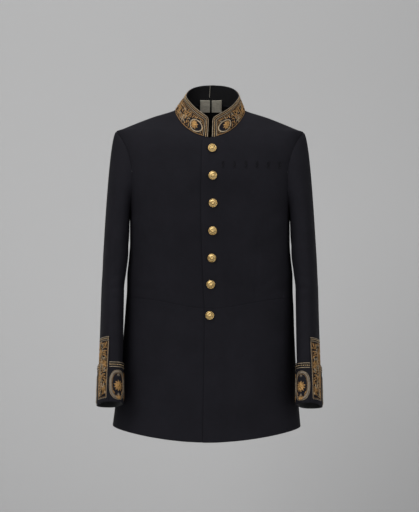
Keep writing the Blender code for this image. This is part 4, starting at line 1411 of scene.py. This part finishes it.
def ringOf(count, distance, height, size, rings, segments):
    # domes set round the button, a new one made for each place
    for i in range(count):
        bpy.ops.mesh.select_all(action="DESELECT")
        bpy.ops.mesh.primitive_uv_sphere_add(segments=segments, ring_count=rings, radius=mm)
        bpy.ops.transform.resize(value=size, center_override=(0, 0, 0))
        bpy.ops.transform.translate(value=(distance * mm, 0, height * mm))
        bpy.ops.transform.rotate(value=math.tau * i / count, orient_axis="Z", center_override=(0, 0, 0))


def plainButton():
    profile = buttonForm["profile"]
    bpy.ops.mesh.primitive_circle_add(
        vertices=buttonForm["sides"], radius=profile[0][0] * mm, fill_type="NGON")
    model = bpy.context.object
    bpy.ops.object.mode_set(mode="EDIT")
    bpy.ops.mesh.select_all(action="SELECT")
    bpy.ops.transform.translate(value=(0, 0, profile[0][1] * mm))
    for (r0, h0), (r1, h1) in zip(profile, profile[1:]):
        bpy.ops.mesh.extrude_region_move(TRANSFORM_OT_translate={"value": (0, 0, (h1 - h0) * mm)})
        bpy.ops.transform.resize(value=(r1 / r0, r1 / r0, 1), center_override=(0, 0, h1 * mm))
    bpy.ops.mesh.extrude_region_move(TRANSFORM_OT_translate={"value": (0, 0, buttonForm["closeRise"] * mm)})
    bpy.ops.mesh.merge(type="COLLAPSE")
    bpy.ops.mesh.select_all(action="SELECT")
    bpy.ops.mesh.normals_make_consistent(inside=False)
    petal, drop = buttonForm["petalSize"], (buttonForm["beadSize"],) * 3
    ringOf(buttonForm["petals"], buttonForm["petalAt"], buttonForm["petalHeight"], petal, 7, 10)
    ringOf(buttonForm["beads"], buttonForm["beadAt"], buttonForm["beadHeight"], drop, 4, 6)
    ringOf(1, 0, buttonForm["top"], buttonForm["topSize"], 7, 12)
    bpy.ops.object.mode_set(mode="OBJECT")
    bpy.ops.object.shade_smooth_by_angle(angle=math.radians(buttonForm["sharp"]))
    model.select_set(False)
    mesh = model.data
    for finish in ("gilt button", "gilt button field"):
        mesh.materials.append(materials[finish])
    # the flat ground between the petals is darker
    field = buttonForm["field"] * mm
    low, high = (height * mm for height in buttonForm["fieldHeights"])
    for face in mesh.polygons:
        away = math.hypot(face.center.x, face.center.y)
        level = face.normal.z > buttonForm["fieldLevel"] and len(face.vertices) < 5
        inField = away < field and low < face.center.z < high
        face.material_index = int(level and inField and face.area > buttonForm["fieldFace"])
    bpy.data.objects.remove(model)
    return mesh


def frontSurface(u, v, h):
    # the lapping front's outer face, by distance from the centre line and height
    u, v = np.asarray(u, float), np.asarray(v, float)
    angle, lift = angleFromWidth(u, v), bodyForm["lapLift"]
    high = bodyRelief(angle, v, 1) + np.asarray(h, float)
    return placed(bodyPoint(angle, v, lift) + high[..., None] * bodyNormal(angle, v, lift), "left")


def placeButtons():
    mesh = plainButton()
    for number, (z, x) in enumerate(buttonForm["places"], 1):
        angle = float(angleFromWidth(x, z))
        normal = bodyNormal(angle, z, buttonForm["lift"])
        rise = buttonForm["shankHeight"] + buttonForm["seat"]
        centre = bodyPoint(angle, z, buttonForm["lift"]) + rise * normal
        across = np.cross((0, 0, 1), normal)
        across /= np.linalg.norm(across)
        turn = np.eye(4)
        turn[:3, :3] = np.stack([across, np.cross(normal, across), normal], axis=-1)
        turn[:3, 3] = placed(centre, "left") * mm
        copy = mesh.copy()
        copy.transform(Matrix(turn.tolist()))
        piece = bpy.data.objects.new(f"coat_button_{number}", copy)
        bpy.context.collection.objects.link(piece)
        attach(piece, "root")
        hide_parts(f"button_{number}")
    bpy.data.meshes.remove(mesh)


placeButtons()
print("buttons made")


# Buttonholes, and the thread loops on the wearer's left chest

silkForm = {
    "holeFrom": 4.0, "holeTo": -13.5, "edgeLeft": 4.0, "lip": 1.15, "thread": (1.5, "black silk", 0.75),
    "barAt": 0.3, "barHalf": 2.0, "barThread": (1.3, "black silk", 0.9),
    "loops": (31, 57, 84, 110, 136, 163), "loopHeight": -109.0, "loopGap": 4.2, "loop": (2.6, 3.4, 1.0),
    "loopThread": (1.1, "black silk", 1.0, 1.0),
}


def silkWork():
    work = newWork()
    for z, x in buttonForm["places"]:
        end = max(x + silkForm["holeTo"], silkForm["edgeLeft"] - float(lapReach(z)))
        for lip in (silkForm["lip"], -silkForm["lip"]):
            cord(work, straight((x + silkForm["holeFrom"], z + lip), (end, z + lip), 12), *silkForm["thread"])
        across, half = end - silkForm["barAt"], silkForm["barHalf"]
        cord(work, straight((across, z - half), (across, z + half), 4), *silkForm["barThread"])
    for x in silkForm["loops"]:
        for gap in (silkForm["loopGap"], -silkForm["loopGap"]):
            path = ovalPath(x, silkForm["loopHeight"] + gap, *silkForm["loop"])
            cord(work, path, *silkForm["loopThread"])
    sew(work, "silk_stitches", frontSurface)


silkWork()
print("stitches made")


# Stage

stage = {
    "cameraDistance": 3.0, "cameraHeight": -0.3216, "cameraX": 0.0005, "roll": -0.3, "lens": 87.9,
    # tone, middle and turn
    "sheets": {
        "backdrop": (0.41, (0, 1.25, 0.6), (math.pi / 2, 0, 0)),
        "floor": (0.62, (0, 0, -1.3), (0, 0, 0)),
    },
    "sheetSize": 9.0, "warmth": 1.004, "roughness": 0.95, "specular": 0.1,
    # place, target, size and power
    "lights": {
        "key": ((-1.9, -2.6, 1.5), (0, 0, -0.35), 2.0, 62),
        "fill": ((2.2, -2.6, 0.7), (0, 0, -0.35), 2.2, 30),
        "top": ((0.0, -0.6, 2.4), (0, 0, -0.35), 2.2, 26),
        "backdropLight": ((-1.2, -0.4, 1.9), (0, 0, -0.35), 1.6, 10),
        "backdropWash": ((-0.35, 0.3, -1.2), (-0.35, 1.25, -1.2), 2.4, 10),
    },
    "world": 0.35,
}


def makeStage():
    data = bpy.data.cameras.new("camera")
    data.sensor_fit = "VERTICAL"
    data.sensor_height = 36
    data.lens = stage["lens"]
    camera = bpy.data.objects.new("camera", data)
    bpy.context.collection.objects.link(camera)
    camera.location = (stage["cameraX"], -stage["cameraDistance"], stage["cameraHeight"])
    camera.rotation_euler = (math.pi / 2, math.radians(stage["roll"]), 0)
    bpy.context.scene.camera = camera

    for name, (tone, place, turn) in stage["sheets"].items():
        bpy.ops.mesh.primitive_plane_add(size=stage["sheetSize"], location=place, rotation=turn)
        sheet = bpy.context.object
        sheet.name = name
        made = bpy.data.materials.new(name)
        made.use_nodes = True
        tree = made.node_tree
        shader = tree.nodes["Principled BSDF"]
        shader.inputs["Base Color"].default_value = (tone, tone, tone * stage["warmth"], 1)
        shader.inputs["Roughness"].default_value = stage["roughness"]
        shader.inputs["Specular IOR Level"].default_value = stage["specular"]
        # seen from behind, the sheet isn't there
        clear = tree.nodes.new("ShaderNodeBsdfTransparent")
        side = tree.nodes.new("ShaderNodeNewGeometry")
        mix = addNode(tree, "ShaderNodeMixShader", {}, i0=side.outputs["Backfacing"], i1=shader.outputs[0],
                      i2=clear.outputs[0])
        tree.links.new(mix.outputs[0], tree.nodes["Material Output"].inputs["Surface"])
        sheet.data.materials.append(made)
        sheet.select_set(False)

    for name, (place, target, size, power) in stage["lights"].items():
        light = bpy.data.lights.new(name, "AREA")
        light.size = size
        light.energy = power
        lamp = bpy.data.objects.new(name, light)
        bpy.context.collection.objects.link(lamp)
        lamp.location = place
        lamp.visible_camera = False
        aim = np.array(target) - np.array(place)
        level = math.hypot(aim[0], aim[1])
        lamp.rotation_euler = (math.atan2(level, -aim[2]), 0, math.atan2(aim[1], aim[0]) - math.pi / 2)

    world = bpy.data.worlds.new("studio")
    world.use_nodes = True
    tone = stage["world"]
    world.node_tree.nodes["Background"].inputs[0].default_value = (tone, tone, tone, 1)
    bpy.context.scene.world = world
    bpy.context.scene.view_settings.view_transform = "Standard"


makeStage()
print("stage made")
